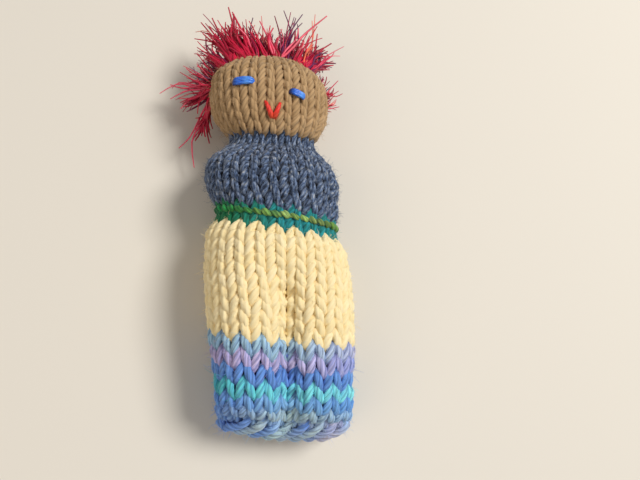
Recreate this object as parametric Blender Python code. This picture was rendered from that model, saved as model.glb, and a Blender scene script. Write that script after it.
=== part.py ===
# Knitted doll lying on its back, in metres.
# X runs from the doll's right side to its left, Y from the sole to the crown, Z up out of its front.
import math
import random

import bmesh
import bpy
from mathutils import Vector

# Lengths of the knitted sections, from the sole up.
BOOT_LENGTH = 0.0282
TROUSER_LENGTH = 0.0325
BELT_HEIGHT = 0.0045
JUMPER_LENGTH = 0.0253
HEAD_LENGTH = 0.0305
# The middle of the back rest lies this far below the belt.
REST_BELOW_BELT = 0.0082

# Widths and depths of the stuffed sections.
BOOT_WIDTH = 0.0404
BOOT_DEPTH = 0.0288
HIP_WIDTH = 0.0424
HIP_DEPTH = 0.0324
BELT_WIDTH = 0.0396
BELT_DEPTH = 0.0314
CHEST_WIDTH = 0.0416
CHEST_DEPTH = 0.0322
NECK_WIDTH = 0.0312
NECK_DEPTH = 0.0240
HEAD_WIDTH = 0.0383
HEAD_DEPTH = 0.0318
# The head leans to its left by this share of its height.
HEAD_LEAN_SHARE = 0.04

# Fabric, yarn and clearances.
KNIT_THICKNESS = 0.0026
REST_FLATTENING = 0.0005
GAP = 0.0003
STUFFING_GAP = 0.0006
RIDGE_HEIGHT = 0.0007
SEWING_YARN_RADIUS = 0.00065
SEAM_YARN_RADIUS = 0.00050
DRAWSTRING_RADIUS = 0.00080
MOUTH_YARN_RADIUS = 0.00060

# Where each soft piece starts and ends.
GATHERED_LENGTH = 0.0050
CHIN_LENGTH = 0.0032
CROTCH_BELOW_BELT = 0.0115
LEG_SPLIT_RAMP = 0.0080
LEG_GROOVE_DEPTH = 0.0048
LEG_GROOVE_WIDTH = 0.0031
LEG_BACK_GROOVE_DEPTH = 0.0026
SEAM_GROOVE_DEPTH = 0.0019
SEAM_GROOVE_WIDTH = 0.0021
SEAM_RAMP = 0.0030
SEAM_WAVE_WIDTH = 0.0002
SEAM_STITCH_LENGTH = 0.0034
HEAD_SEAM_LENGTH = 0.0170
SPLIT_STITCH_LENGTH = 0.0056
SPLIT_FIRST_BELOW_CROTCH = 0.0044
SPLIT_STITCH_COUNT = 7
SPLIT_BEND = 0.0010
SOLE_STITCH_COUNT = 8
SOLE_STITCH_PITCH = 0.0041
SOLE_STITCH_REACH = 0.0017
KNOT_HALF_WIDTH = 0.0020
KNOT_HALF_HEIGHT = 0.0013
CROWN_RING_SHARE = 0.02
SOLE_THICKNESS = 0.0030
CROWN_THICKNESS = 0.0036
HOLE_OVERRUN = 0.0020
MERGE_DISTANCE = 0.00001
NORMAL_STEP = 0.0003

# Face, measured from the neck along the head.
LEFT_EYE_HEIGHT = 0.0086
LEFT_EYE_SIDE = 0.0073
LEFT_EYE_LENGTH = 0.0052
LEFT_EYE_DROP = 0.0026
RIGHT_EYE_HEIGHT = 0.0129
RIGHT_EYE_SIDE = -0.0091
RIGHT_EYE_LENGTH = 0.0064
RIGHT_EYE_DROP = -0.0002
EYE_HEIGHT = 0.0026
EYE_LIFT = 0.0012
EYE_TAPER_SHARE = 0.75
MOUTH_WIDTH = 0.0048
MOUTH_SIDE = -0.0005
MOUTH_TOP = 0.0060
MOUTH_BOTTOM = 0.0011
MOUTH_SHARES = ((-1.0, 1.0), (-0.5, 0.5), (0.0, 0.0), (0.5, 0.45), (1.0, 0.9))

# Hair of eyelash yarn.
HAIR_BACKING = 0.0014
HAIR_LENGTH = 0.0180
HAIR_SIDE_LENGTH = 0.0100
HAIR_LOCK_LENGTH = 0.0190
HAIR_ROOT_WIDTH = 0.0011
HAIR_MIDDLE_WIDTH = 0.0007
HAIR_TIP_WIDTH = 0.0003
HAIR_INSET = 0.0002
HAIR_CLEARANCE = 0.0006
HAIR_JITTER_SHARE = 0.09
HAIR_MIDDLE_SHARE = 0.45
HAIR_LENGTH_SHARES = (0.65, 1.0)
HAIR_SEED = 11

# Slices of hair: place along the head as shares, turns in degrees, columns and rows of tufts.
HAIR_SLICE_SHARES = {
    "hair_crown_front": (0.905, 0.970, (6, 174), 22, 2),
    "hair_crown_back": (0.800, 0.970, (186, 354), 18, 4),
    "hair_left_side": (0.420, 0.760, (328, 358), 4, 5),
    "hair_right_side": (0.500, 0.760, (182, 212), 4, 4),
    "hair_right_lock": (0.300, 0.470, (182, 206), 3, 3),
}
# How far each slice's tufts are combed, as shares of their length, and how long they are.
HAIR_LEAN_SHARES = {
    "hair_crown_front": (0.0, 0.25, 0.0),
    "hair_crown_back": (0.0, 0.35, 0.0),
    "hair_left_side": (0.1, 0.1, 0.0),
    "hair_right_side": (-0.1, 0.0, 0.0),
    "hair_right_lock": (0.1, -1.6, 0.0),
}
HAIR_LENGTHS = {
    "hair_crown_front": HAIR_LENGTH,
    "hair_crown_back": HAIR_LENGTH,
    "hair_left_side": HAIR_SIDE_LENGTH,
    "hair_right_side": HAIR_SIDE_LENGTH,
    "hair_right_lock": HAIR_LOCK_LENGTH,
}

# The turns at which a section's middle front and middle back lie.
MIDDLE_FRONT = math.pi / 2
MIDDLE_BACK = 1.5 * math.pi

# How the facets are laid out.
RING_POINTS = 40
RING_STEP = 0.0040
SECTION_POWER = 2.25
CENTRE_CROWDING_SHARE = 0.45
BELT_STEPS = 4
THREAD_RESOLUTION = 1
DRAWSTRING_POINTS = 36
CROWN_THREAD_POINTS = 14
EYE_RINGS = 7
EYE_POINTS = 10
HOLE_SIDES = 8
TIP_SHARES = (0.0, 0.14, 0.40, 0.70)
EDGE_SHARE = 0.12
RUN_SHARES = (0.0, 0.3, 0.5, 0.7, 1.0)

# Stations of each section: place along it, width, depth and lift of the back as shares of the
# section's own length, width and depth, then the slope of the rows across and their sag in front.
BOOT_SHARES = (
    (0.00, 0.84, 0.10, 0.300, 0.11, 0.00),
    (0.05, 0.93, 0.36, 0.160, 0.11, 0.04),
    (0.15, 0.975, 0.68, 0.045, 0.12, 0.10),
    (0.32, 0.99, 0.91, 0.0, 0.13, 0.16),
    (0.62, 1.0, 1.0, 0.0, 0.15, 0.18),
)
TROUSER_SHARES = (
    (0.00, 0.98, 0.95, 0.0, 0.16, 0.18),
    (0.43, 1.0, 1.0, 0.0, 0.18, 0.18),
    (0.85, 0.985, 0.99, 0.0, 0.19, 0.18),
)
BELT_SHARES = (
    (0.20, 1.0, 1.0, 0.0, 0.19, 0.18),
    (0.80, 1.0, 1.0, 0.0, 0.19, 0.18),
)
JUMPER_SHARES = (
    (0.12, 0.98, 0.99, 0.0, 0.19, 0.18),
    (0.40, 1.0, 1.0, 0.0, 0.16, 0.18),
    (0.66, 0.945, 0.95, 0.0, 0.12, 0.22),
    (0.84, 0.855, 0.86, 0.012, 0.09, 0.28),
    (0.94, 0.785, 0.79, 0.045, 0.07, 0.30),
)
NECK_SHARES = ((0.00, 1.0, 1.0, 0.100, 0.06, 0.30),)
HEAD_SHARES = (
    (0.06, 0.87, 0.83, 0.050, 0.07, 0.30),
    (0.15, 0.925, 0.91, 0.020, 0.09, 0.28),
    (0.27, 0.97, 0.97, 0.0, 0.12, 0.24),
    (0.46, 1.0, 1.0, 0.0, 0.12, 0.16),
    (0.60, 0.985, 0.985, 0.0, 0.10, 0.10),
    (0.70, 0.915, 0.925, 0.010, 0.08, 0.06),
    (0.80, 0.79, 0.81, 0.045, 0.06, 0.04),
    (0.89, 0.59, 0.62, 0.120, 0.04, 0.02),
    (0.955, 0.36, 0.38, 0.240, 0.0, 0.0),
    (1.00, 0.09, 0.10, 0.390, 0.0, 0.0),
)

TROUSER_TOP = REST_BELOW_BELT
BOOT_TOP = TROUSER_TOP - TROUSER_LENGTH
SOLE = BOOT_TOP - BOOT_LENGTH
BELT_TOP = TROUSER_TOP + BELT_HEIGHT
NECK = BELT_TOP + JUMPER_LENGTH
CROWN = NECK + HEAD_LENGTH
CROTCH = TROUSER_TOP - CROTCH_BELOW_BELT
GATHERED_TOP = NECK - DRAWSTRING_RADIUS - GAP
JUMPER_COVER_TOP = GATHERED_TOP - GATHERED_LENGTH
CHIN_START = NECK + DRAWSTRING_RADIUS + GAP
CHIN_TOP = CHIN_START + CHIN_LENGTH
FILLING_INSET = KNIT_THICKNESS + STUFFING_GAP
JUMPER_SEAM = (BELT_TOP, JUMPER_COVER_TOP)
HEAD_SEAM = (CHIN_TOP, CHIN_TOP + HEAD_SEAM_LENGTH)
KEY_PLACES = (
    SOLE,
    SOLE + LEG_SPLIT_RAMP / 2,
    BOOT_TOP,
    CROTCH - LEG_SPLIT_RAMP,
    CROTCH,
    TROUSER_TOP,
    BELT_TOP,
    JUMPER_SEAM[0] + SEAM_RAMP,
    JUMPER_SEAM[1] - SEAM_RAMP,
    JUMPER_COVER_TOP,
    GATHERED_TOP,
    NECK,
    CHIN_START,
    CHIN_TOP,
    HEAD_SEAM[0] + SEAM_RAMP,
    HEAD_SEAM[1] - SEAM_RAMP,
    HEAD_SEAM[1],
    CROWN,
)


def clamped(share):
    return min(max(share, 0.0), 1.0)


def stations():
    # Every station as place, half width, half depth, back height, slope and sag.
    sections = (
        (SOLE, BOOT_LENGTH, BOOT_WIDTH, BOOT_DEPTH, BOOT_SHARES),
        (BOOT_TOP, TROUSER_LENGTH, HIP_WIDTH, HIP_DEPTH, TROUSER_SHARES),
        (TROUSER_TOP, BELT_HEIGHT, BELT_WIDTH, BELT_DEPTH, BELT_SHARES),
        (BELT_TOP, JUMPER_LENGTH, CHEST_WIDTH, CHEST_DEPTH, JUMPER_SHARES),
        (NECK, HEAD_LENGTH, NECK_WIDTH, NECK_DEPTH, NECK_SHARES),
        (NECK, HEAD_LENGTH, HEAD_WIDTH, HEAD_DEPTH, HEAD_SHARES),
    )
    rows = []
    for start, length, width, depth, shares in sections:
        for place, wide, deep, lift, slope, sag in shares:
            back = lift * depth - REST_FLATTENING
            rows.append((start + place * length, wide * width / 2, deep * depth / 2, back, slope, sag))
    return rows


STATIONS = stations()


def tangent(index, column):
    # Slope of one column at a station, level at its peaks so that nothing overshoots.
    if index in (0, len(STATIONS) - 1):
        near = min(index, len(STATIONS) - 2)
        run = STATIONS[near + 1][0] - STATIONS[near][0]
        return (STATIONS[near + 1][column] - STATIONS[near][column]) / run
    before, here, after = STATIONS[index - 1:index + 2]
    rise_before = (here[column] - before[column]) / (here[0] - before[0])
    rise_after = (after[column] - here[column]) / (after[0] - here[0])
    if rise_before * rise_after <= 0:
        return 0.0
    return 2 * rise_before * rise_after / (rise_before + rise_after)


def section_at(place):
    # Half width, half depth, back height, slope and sag at a place along the doll.
    index = 0
    while index < len(STATIONS) - 2 and STATIONS[index + 1][0] < place:
        index += 1
    low, high = STATIONS[index], STATIONS[index + 1]
    run = high[0] - low[0]
    t = (place - low[0]) / run
    values = []
    for column in range(1, len(low)):
        start = (2 * t ** 3 - 3 * t ** 2 + 1) * low[column] + (3 * t ** 2 - 2 * t ** 3) * high[column]
        leave = (t ** 3 - 2 * t ** 2 + t) * run * tangent(index, column)
        arrive = (t ** 3 - t ** 2) * run * tangent(index + 1, column)
        values.append(start + leave + arrive)
    return values


def groove_depth(place, x, in_front):
    # The legs are drawn apart by their sewn line, and the back seam lies in a shallow channel.
    below_crotch = clamped((CROTCH - place) / LEG_SPLIT_RAMP)
    above_sole = clamped((place - SOLE) / LEG_SPLIT_RAMP * 2)
    split = below_crotch * above_sole * math.exp(-((x / LEG_GROOVE_WIDTH) ** 2))
    if in_front:
        return LEG_GROOVE_DEPTH * split
    seam = 0.0
    for start, end in (JUMPER_SEAM, HEAD_SEAM):
        seam += clamped((place - start) / SEAM_RAMP) * clamped((end - place) / SEAM_RAMP)
    channel = seam * math.exp(-((x / SEAM_GROOVE_WIDTH) ** 2))
    return LEG_BACK_GROOVE_DEPTH * split + SEAM_GROOVE_DEPTH * channel


def skin_point(place, turn, inset=0.0):
    # A point of the stuffed doll's skin; turn runs from its left side over its front.
    half_width, half_depth, back, slope, sag = section_at(place)
    across, up = math.cos(turn), math.sin(turn)
    x = (half_width - inset) * math.copysign(abs(across) ** (2 / SECTION_POWER), across)
    rise = (half_depth - inset) * math.copysign(abs(up) ** (2 / SECTION_POWER), up)
    rise -= math.copysign(groove_depth(place, x, up > 0), up)
    x += HEAD_LEAN_SHARE * max(place - NECK, 0.0)
    z = back + half_depth + rise
    if inset <= 0:
        z = max(z, 0.0)
    return Vector((x, place - slope * x - sag * rise, z))


def skin_normal(place, turn):
    # The way out of the skin, from points close by along the doll and round it.
    turn_step = NORMAL_STEP / HIP_WIDTH
    along = skin_point(place + NORMAL_STEP, turn) - skin_point(place - NORMAL_STEP, turn)
    around = skin_point(place, turn + turn_step) - skin_point(place, turn - turn_step)
    return along.cross(around).normalized()


def above_skin(place, turn, height):
    # A point that lies off the skin by a height.
    return skin_point(place, turn) + skin_normal(place, turn) * height


def front_turn(place, x):
    # The turn at which the front of the skin lies at x.
    x -= HEAD_LEAN_SHARE * max(place - NECK, 0.0)
    half_width = section_at(place)[0]
    share = min(abs(x) / half_width, 1.0) ** (SECTION_POWER / 2)
    return math.acos(math.copysign(share, x))


def front_place(x, y):
    # The station whose row passes through x and y on the front.
    place = y
    for _ in range(6):
        place += y - skin_point(place, front_turn(place, x)).y
    return place


def back_place(y):
    # The station whose row passes through y on the middle of the back.
    place = y
    for _ in range(6):
        place += y - skin_point(place, MIDDLE_BACK).y
    return place


def ring_turns(count):
    # Turns round the doll, closer together at the middle of its front and back.
    evenly = [math.tau * step / count for step in range(count)]
    return [turn + CENTRE_CROWDING_SHARE * math.sin(2 * turn) / 2 for turn in evenly]


def ring(place, inset=0.0):
    return [skin_point(place, turn, inset) for turn in ring_turns(RING_POINTS)]


def places_between(start, end, step):
    count = max(1, round(abs(end - start) / step))
    return [start + (end - start) * index / count for index in range(count + 1)]


def knit_places(start, end):
    # Covers and fillings share their stations, so that their facets lie alongside.
    low, high = min(start, end), max(start, end)
    shared = []
    for near, far in zip(KEY_PLACES, KEY_PLACES[1:]):
        shared += places_between(near, far, RING_STEP)[1:]
    margin = RING_STEP / 4
    places = [low] + [place for place in shared if low + margin < place < high - margin] + [high]
    return places if start < end else places[::-1]


def loft_rings(rings, joined):
    # Faces between rings of equal counts, joined last to first or closed at both ends.
    mesh = bmesh.new()
    rows = [[mesh.verts.new(point) for point in points] for points in rings]
    pairs = list(zip(rows, rows[1:]))
    if joined:
        pairs.append((rows[-1], rows[0]))
    for row, following in pairs:
        for index, vert in enumerate(row):
            beside = (index + 1) % len(row)
            mesh.faces.new((vert, row[beside], following[beside], following[index]))
    if not joined:
        for row in (rows[0], rows[-1]):
            middle = mesh.verts.new(sum((vert.co for vert in row), Vector()) / len(row))
            for index, vert in enumerate(row):
                mesh.faces.new((vert, row[(index + 1) % len(row)], middle))
    bmesh.ops.recalc_face_normals(mesh, faces=mesh.faces)
    return mesh, rows


def finish_mesh(name, mesh, material):
    data = bpy.data.meshes.new(name)
    mesh.to_mesh(data)
    mesh.free()
    data.shade_smooth()
    data.set_sharp_from_angle(angle=math.radians(50))
    data.materials.append(material)
    piece = bpy.data.objects.new(name, data)
    DOLL.objects.link(piece)
    return piece


def knit_tube(name, start, end, material):
    # A knitted tube is open at both ends.
    places = knit_places(start, end)
    outer = [ring(place) for place in places]
    inner = [ring(place, KNIT_THICKNESS) for place in reversed(places)]
    mesh, _ = loft_rings(outer + inner, joined=True)
    return finish_mesh(name, mesh, material)


def knit_bag(name, tip, tip_thickness, mouth, material):
    # A knitted bag is closed at its tip and open at its mouth.
    inner_tip = tip + math.copysign(tip_thickness, mouth - tip)
    outer = [ring(place) for place in tip_places(tip, inner_tip) + knit_places(inner_tip, mouth)]
    inner = [ring(place, KNIT_THICKNESS) for place in knit_places(mouth, inner_tip)]
    mesh, _ = loft_rings(outer + inner, joined=False)
    return finish_mesh(name, mesh, material)


def tip_places(tip, inner_tip):
    # Stations crowd towards a tip, where the form closes quickly.
    return [tip + (inner_tip - tip) * share for share in TIP_SHARES]


def filling(name, start, end, material):
    mesh = filling_mesh(start, end)
    return finish_mesh(name, mesh, material)


def filling_mesh(start, end):
    rings = [ring(place, FILLING_INSET) for place in knit_places(start, end)]
    mesh, _ = loft_rings(rings, joined=False)
    return mesh


def leg_filling(name, side, material):
    # Each leg's stuffing stops short of the thread that parts the legs.
    mesh = filling_mesh(SOLE + SOLE_THICKNESS + GAP, CROTCH - GAP / 2)
    clearance = SEWING_YARN_RADIUS + GAP
    bmesh.ops.bisect_plane(
        mesh,
        geom=mesh.verts[:] + mesh.edges[:] + mesh.faces[:],
        dist=MERGE_DISTANCE,
        plane_co=(side * clearance, 0, 0),
        plane_no=(side, 0, 0),
        clear_inner=True,
    )
    open_edges = [edge for edge in mesh.edges if edge.is_boundary]
    bmesh.ops.holes_fill(mesh, edges=open_edges, sides=0)
    bmesh.ops.recalc_face_normals(mesh, faces=mesh.faces)
    return finish_mesh(name, mesh, material)


def belt_band(material):
    # The band's purl ridge stands proud round its middle.
    places = places_between(TROUSER_TOP + GAP / 2, BELT_TOP - GAP / 2, BELT_HEIGHT / BELT_STEPS)
    outer = []
    for place in places:
        share = (place - TROUSER_TOP) / BELT_HEIGHT
        outer.append(ring(place, -RIDGE_HEIGHT * math.sin(math.pi * share) ** 2))
    inner = [ring(place, KNIT_THICKNESS) for place in (places[-1], places[0])]
    mesh, _ = loft_rings(outer + inner, joined=True)
    return finish_mesh("belt_band", mesh, material)


def thread(name, points, radius, material, closed=False):
    # A round thread along the points.
    data = bpy.data.curves.new(name, "CURVE")
    data.dimensions = "3D"
    data.bevel_depth = radius
    data.bevel_resolution = THREAD_RESOLUTION
    data.use_fill_caps = True
    spline = data.splines.new("POLY")
    spline.points.add(len(points) - 1)
    for point, place in zip(spline.points, points):
        point.co = (*place, 1)
    spline.use_cyclic_u = closed
    data.materials.append(material)
    piece = bpy.data.objects.new(name, data)
    DOLL.objects.link(piece)
    return piece


def as_mesh(piece):
    # A curve is made a mesh so that it can be joined to another piece.
    evaluated = piece.evaluated_get(bpy.context.evaluated_depsgraph_get())
    data = bpy.data.meshes.new_from_object(evaluated)
    mesh = bmesh.new()
    mesh.from_mesh(data)
    bmesh.ops.remove_doubles(mesh, verts=mesh.verts, dist=MERGE_DISTANCE)
    mesh.to_mesh(data)
    mesh.free()
    name = piece.name
    copy = bpy.data.objects.new(name + "_mesh", data)
    copy.matrix_world = piece.matrix_world
    DOLL.objects.link(copy)
    bpy.data.objects.remove(piece)
    copy.name = name
    return copy


def bent(points, bend):
    # The path with each corner turned in a short curve.
    path = [points[0]]
    for before, corner, after in zip(points, points[1:], points[2:]):
        reach = min(bend, (corner - before).length / 2, (after - corner).length / 2)
        start = corner + (before - corner).normalized() * reach
        end = corner + (after - corner).normalized() * reach
        path += [start, (start + end) / 4 + corner / 2, end]
    path.append(points[-1])
    return path


def cut_with(piece, cutter):
    modifier = piece.modifiers.new(cutter.name, "BOOLEAN")
    modifier.operation = "DIFFERENCE"
    modifier.object = cutter


def pass_places():
    # The running thread goes through the doll at these places along it.
    first = CROTCH - SPLIT_FIRST_BELOW_CROTCH
    return [first - index * SPLIT_STITCH_LENGTH for index in range(SPLIT_STITCH_COUNT)]


def pass_point(y, in_front):
    # Where the thread turns on the front or on the back of the doll, just clear of the knit.
    clearance = SEWING_YARN_RADIUS + STUFFING_GAP
    if in_front:
        return skin_point(front_place(0.0, y), MIDDLE_FRONT) + Vector((0, 0, clearance))
    return skin_point(back_place(y), MIDDLE_BACK) - Vector((0, 0, clearance))


def leg_stitching(material):
    # One running thread parts the legs: along the front, through, along the back and up again.
    places = pass_places()
    middle = (pass_point(places[0], True) + pass_point(places[0], False)) / 2
    points = [middle]
    in_front = True
    for y, following in zip(places, places[1:]):
        points += [pass_point(y + (following - y) * share, in_front) for share in RUN_SHARES]
        in_front = not in_front
    points.append((pass_point(places[-1], True) + pass_point(places[-1], False)) / 2)
    return thread("leg_division_stitching", bent(points, SPLIT_BEND), SEWING_YARN_RADIUS, material)


def hole_between(mesh, start, end):
    # An opening between knitted loops, along the line that a thread takes through the fabric.
    way = end - start
    made = bmesh.ops.create_cone(
        mesh,
        cap_ends=True,
        segments=HOLE_SIDES,
        radius1=SEWING_YARN_RADIUS + STUFFING_GAP,
        radius2=SEWING_YARN_RADIUS + STUFFING_GAP,
        depth=way.length,
    )
    turned = way.to_track_quat("Z", "Y").to_matrix().to_4x4()
    bmesh.ops.transform(mesh, matrix=turned, verts=made["verts"])
    bmesh.ops.translate(mesh, verts=made["verts"], vec=(start + end) / 2)


def stitch_holes():
    # The openings that the running thread and the sole's thread go through.
    mesh = bmesh.new()
    places = pass_places()
    overrun = Vector((0, 0, HOLE_OVERRUN))
    for y in places:
        front, back = pass_point(y, True), pass_point(y, False)
        start = back - overrun
        end = front + overrun
        if y == places[0]:
            start = (front + back) / 2
        if y == places[-1]:
            end = (front + back) / 2
        hole_between(mesh, start, end)
    for index in range(SOLE_STITCH_COUNT - 1):
        start, end = sole_stitch(index)[-1], sole_stitch(index + 1)[0]
        beyond = (end - start).normalized() * HOLE_OVERRUN
        hole_between(mesh, start - beyond, end + beyond)
    data = bpy.data.meshes.new("stitch_holes")
    mesh.to_mesh(data)
    mesh.free()
    cutter = bpy.data.objects.new("stitch_holes", data)
    cutter.hide_render = True
    cutter.display_type = "WIRE"
    CUTTERS.objects.link(cutter)
    return cutter


def sole_stitch(index):
    # One overcast stitch, from the front over the sole's closed edge to the back.
    height = SEWING_YARN_RADIUS + GAP
    x = (index - (SOLE_STITCH_COUNT - 1) / 2) * SOLE_STITCH_PITCH
    behind = x + SOLE_STITCH_PITCH / 2
    reach = SOLE + SOLE_STITCH_REACH
    lip = SOLE + SOLE_STITCH_REACH * EDGE_SHARE
    turn = front_turn(SOLE, (x + behind) / 2)
    edge = (skin_point(SOLE, turn) + skin_point(SOLE, -turn)) / 2 - Vector((0, height, 0))
    return [
        above_skin(reach, front_turn(reach, x), height),
        above_skin(lip, front_turn(lip, x), height),
        edge,
        above_skin(lip, -front_turn(lip, behind), height),
        above_skin(reach, -front_turn(reach, behind), height),
    ]


def sole_yarn(material):
    # The thread winds round the edge of the sole and through it again.
    points = []
    for index in range(SOLE_STITCH_COUNT):
        points += sole_stitch(index)
    return thread("sole_seam_yarn", bent(points, SPLIT_BEND), SEWING_YARN_RADIUS, material)


def back_seam(name, span, material):
    # The thread waves from edge to edge of its channel down the centre back.
    start, end = span[0] + SEAM_RAMP, span[1] - SEAM_RAMP
    points = []
    for place in places_between(start, end, SEAM_STITCH_LENGTH / 4):
        sway = SEAM_WAVE_WIDTH * math.sin(math.tau * (place - start) / SEAM_STITCH_LENGTH)
        bottom = skin_point(place, MIDDLE_BACK)
        points.append(bottom + Vector((sway, 0, -SEAM_YARN_RADIUS - GAP)))
    return thread(name, points, SEAM_YARN_RADIUS, material)


def union_with(piece, mesh, name):
    # Another closed form is joined to the piece.
    data = bpy.data.meshes.new(name)
    mesh.to_mesh(data)
    mesh.free()
    joined = bpy.data.objects.new(name, data)
    joined.hide_render = True
    joined.display_type = "WIRE"
    CUTTERS.objects.link(joined)
    modifier = piece.modifiers.new(name, "BOOLEAN")
    modifier.operation = "UNION"
    modifier.object = joined


def neck_drawstring(material):
    # The thread goes round the neck between the gathered rows and is knotted at the nape.
    turns = ring_turns(DRAWSTRING_POINTS)
    points = [skin_point(NECK, turn, DRAWSTRING_RADIUS) for turn in turns]
    drawstring = as_mesh(thread("neck_drawstring", points, DRAWSTRING_RADIUS, material, closed=True))
    knot = bmesh.new()
    bmesh.ops.create_icosphere(knot, subdivisions=2, radius=DRAWSTRING_RADIUS)
    size = (KNOT_HALF_WIDTH / DRAWSTRING_RADIUS, 1, KNOT_HALF_HEIGHT / DRAWSTRING_RADIUS)
    bmesh.ops.scale(knot, verts=knot.verts, vec=size)
    bmesh.ops.translate(knot, verts=knot.verts, vec=skin_point(NECK, MIDDLE_BACK, DRAWSTRING_RADIUS))
    union_with(drawstring, knot, "nape_knot")
    return drawstring


def crown_thread(material):
    # The thread that draws the crown together shows as a small ring at its middle.
    place = CROWN - HEAD_LENGTH * CROWN_RING_SHARE
    turns = [math.tau * index / CROWN_THREAD_POINTS for index in range(CROWN_THREAD_POINTS)]
    points = [above_skin(place, turn, SEAM_YARN_RADIUS + GAP) for turn in turns]
    return thread("crown_gathering_thread", points, SEAM_YARN_RADIUS, material, closed=True)


def eye_stitches(name, x, height, length, drop, material):
    # A satin stitch: strands side by side that swell in the middle and dip in at both ends.
    rings = []
    for index in range(EYE_RINGS):
        share = 2 * index / (EYE_RINGS - 1) - 1
        side = math.copysign(share, x * share)
        across = x + side * length / 2
        y = NECK + height - share * drop / 2
        place = front_place(across, y)
        turn = front_turn(place, across)
        outward = skin_normal(place, turn)
        middle = skin_point(place, turn) + outward * (GAP + EYE_LIFT / 2)
        swell = math.sqrt(max(1 - EYE_TAPER_SHARE * share * share, 0.0))
        along = Vector((0, 1, 0)) - outward * outward.y
        along.normalize()
        points = []
        for step in range(EYE_POINTS):
            angle = math.tau * step / EYE_POINTS
            wide = along * (math.cos(angle) * swell * EYE_HEIGHT / 2)
            points.append(middle + wide + outward * (math.sin(angle) * EYE_LIFT / 2))
        rings.append(points)
    mesh, _ = loft_rings(rings, joined=False)
    return finish_mesh(name, mesh, material)


def mouth_stitches(material):
    # Two straight stitches that meet in a V.
    points = []
    height = MOUTH_YARN_RADIUS + GAP
    for side, share in MOUTH_SHARES:
        x = MOUTH_SIDE + side * MOUTH_WIDTH / 2
        y = NECK + MOUTH_BOTTOM + share * (MOUTH_TOP - MOUTH_BOTTOM)
        place = front_place(x, y)
        points.append(above_skin(place, front_turn(place, x), height))
    return thread("mouth_stitches", points, MOUTH_YARN_RADIUS, material)


def hair_slice(name, low, high, turns, steps, rows, length, lean, material):
    # A slice of backing on the head cover, with a tapered tuft on each of its faces.
    places = [low + (high - low) * row / rows for row in range(rows + 1)]
    rings = []
    for index in range(steps + 1):
        turn = turns[0] + (turns[1] - turns[0]) * index / steps
        outer = [above_skin(place, turn, GAP + HAIR_BACKING) for place in places]
        inner = [above_skin(place, turn, GAP) for place in reversed(places)]
        rings.append(outer + inner)
    mesh, grid = loft_rings(rings, joined=False)
    outside = {vert for points in grid for vert in points[:rows + 1]}
    faces = [face for face in mesh.faces if all(vert in outside for vert in face.verts)]
    chance = random.Random(HAIR_SEED + steps)
    for face in faces:
        grow_tuft(mesh, face, length * chance.uniform(*HAIR_LENGTH_SHARES), lean, chance)
    bmesh.ops.recalc_face_normals(mesh, faces=mesh.faces)
    return finish_mesh(name, mesh, material)


def grow_tuft(mesh, face, length, lean, chance):
    # The face is drawn in to the tuft's root and pulled out twice, thinner each time.
    bmesh.ops.inset_individual(mesh, faces=[face], thickness=HAIR_INSET)
    resize_face(face, HAIR_ROOT_WIDTH)
    root = face.calc_center_median()
    way = tuft_way(root, lean, chance)
    lowest = HAIR_CLEARANCE - root.z
    if way.z * length < lowest:
        way.z = lowest / length
    for share, width in ((HAIR_MIDDLE_SHARE, HAIR_MIDDLE_WIDTH), (1 - HAIR_MIDDLE_SHARE, HAIR_TIP_WIDTH)):
        pulled = bmesh.ops.extrude_discrete_faces(mesh, faces=[face])["faces"]
        face = pulled[0]
        bmesh.ops.translate(mesh, verts=face.verts, vec=way * length * share)
        resize_face(face, width)


def resize_face(face, width):
    # The face is scaled about its middle until it is as wide as a square of this width.
    middle = face.calc_center_median()
    factor = width / math.sqrt(face.calc_area())
    for vert in face.verts:
        vert.co = middle + (vert.co - middle) * factor


def tuft_way(root, lean, chance):
    # Tufts stand away from the middle of the head, combed a little towards the lean.
    half_length = HEAD_LENGTH / 2
    middle = Vector((HEAD_LEAN_SHARE * half_length, NECK + half_length, HEAD_DEPTH / 2 - REST_FLATTENING))
    outward = (root - middle).normalized()
    jitter = Vector([chance.uniform(-1, 1) for _ in range(3)]) * HAIR_JITTER_SHARE
    return (outward + lean + jitter).normalized()


def make_material(name, red, green, blue, roughness):
    made = bpy.data.materials.new(name)
    made.use_nodes = True
    shader = made.node_tree.nodes["Principled BSDF"]
    shader.inputs["Base Color"].default_value = (red, green, blue, 1)
    shader.inputs["Roughness"].default_value = roughness
    shader.inputs["Metallic"].default_value = 0.0
    made.diffuse_color = (red, green, blue, 1)
    return made


def covers():
    cream = make_material("cream_wool", 0.93, 0.77, 0.43, 0.85)
    blue = make_material("boot_blue_wool", 0.28, 0.40, 0.68, 0.85)
    denim = make_material("denim_heather_wool", 0.11, 0.17, 0.26, 0.88)
    green = make_material("belt_green_wool", 0.03, 0.20, 0.11, 0.85)
    tan = make_material("tan_wool", 0.46, 0.31, 0.17, 0.88)
    boot_cover = knit_bag("boot_cover", SOLE, SOLE_THICKNESS, BOOT_TOP - GAP / 2, blue)
    trouser_cover = knit_tube("trouser_cover", BOOT_TOP + GAP / 2, TROUSER_TOP - GAP / 2, cream)
    belt_band(green)
    knit_tube("jumper_cover", BELT_TOP + GAP / 2, JUMPER_COVER_TOP - GAP / 2, denim)
    knit_tube("jumper_gathered_rows", JUMPER_COVER_TOP + GAP / 2, GATHERED_TOP, denim)
    knit_tube("chin_gathered_rows", CHIN_START, CHIN_TOP - GAP / 2, tan)
    knit_bag("head_cover", CROWN, CROWN_THICKNESS, CHIN_TOP + GAP / 2, tan)
    holes = stitch_holes()
    cut_with(boot_cover, holes)
    cut_with(trouser_cover, holes)


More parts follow.
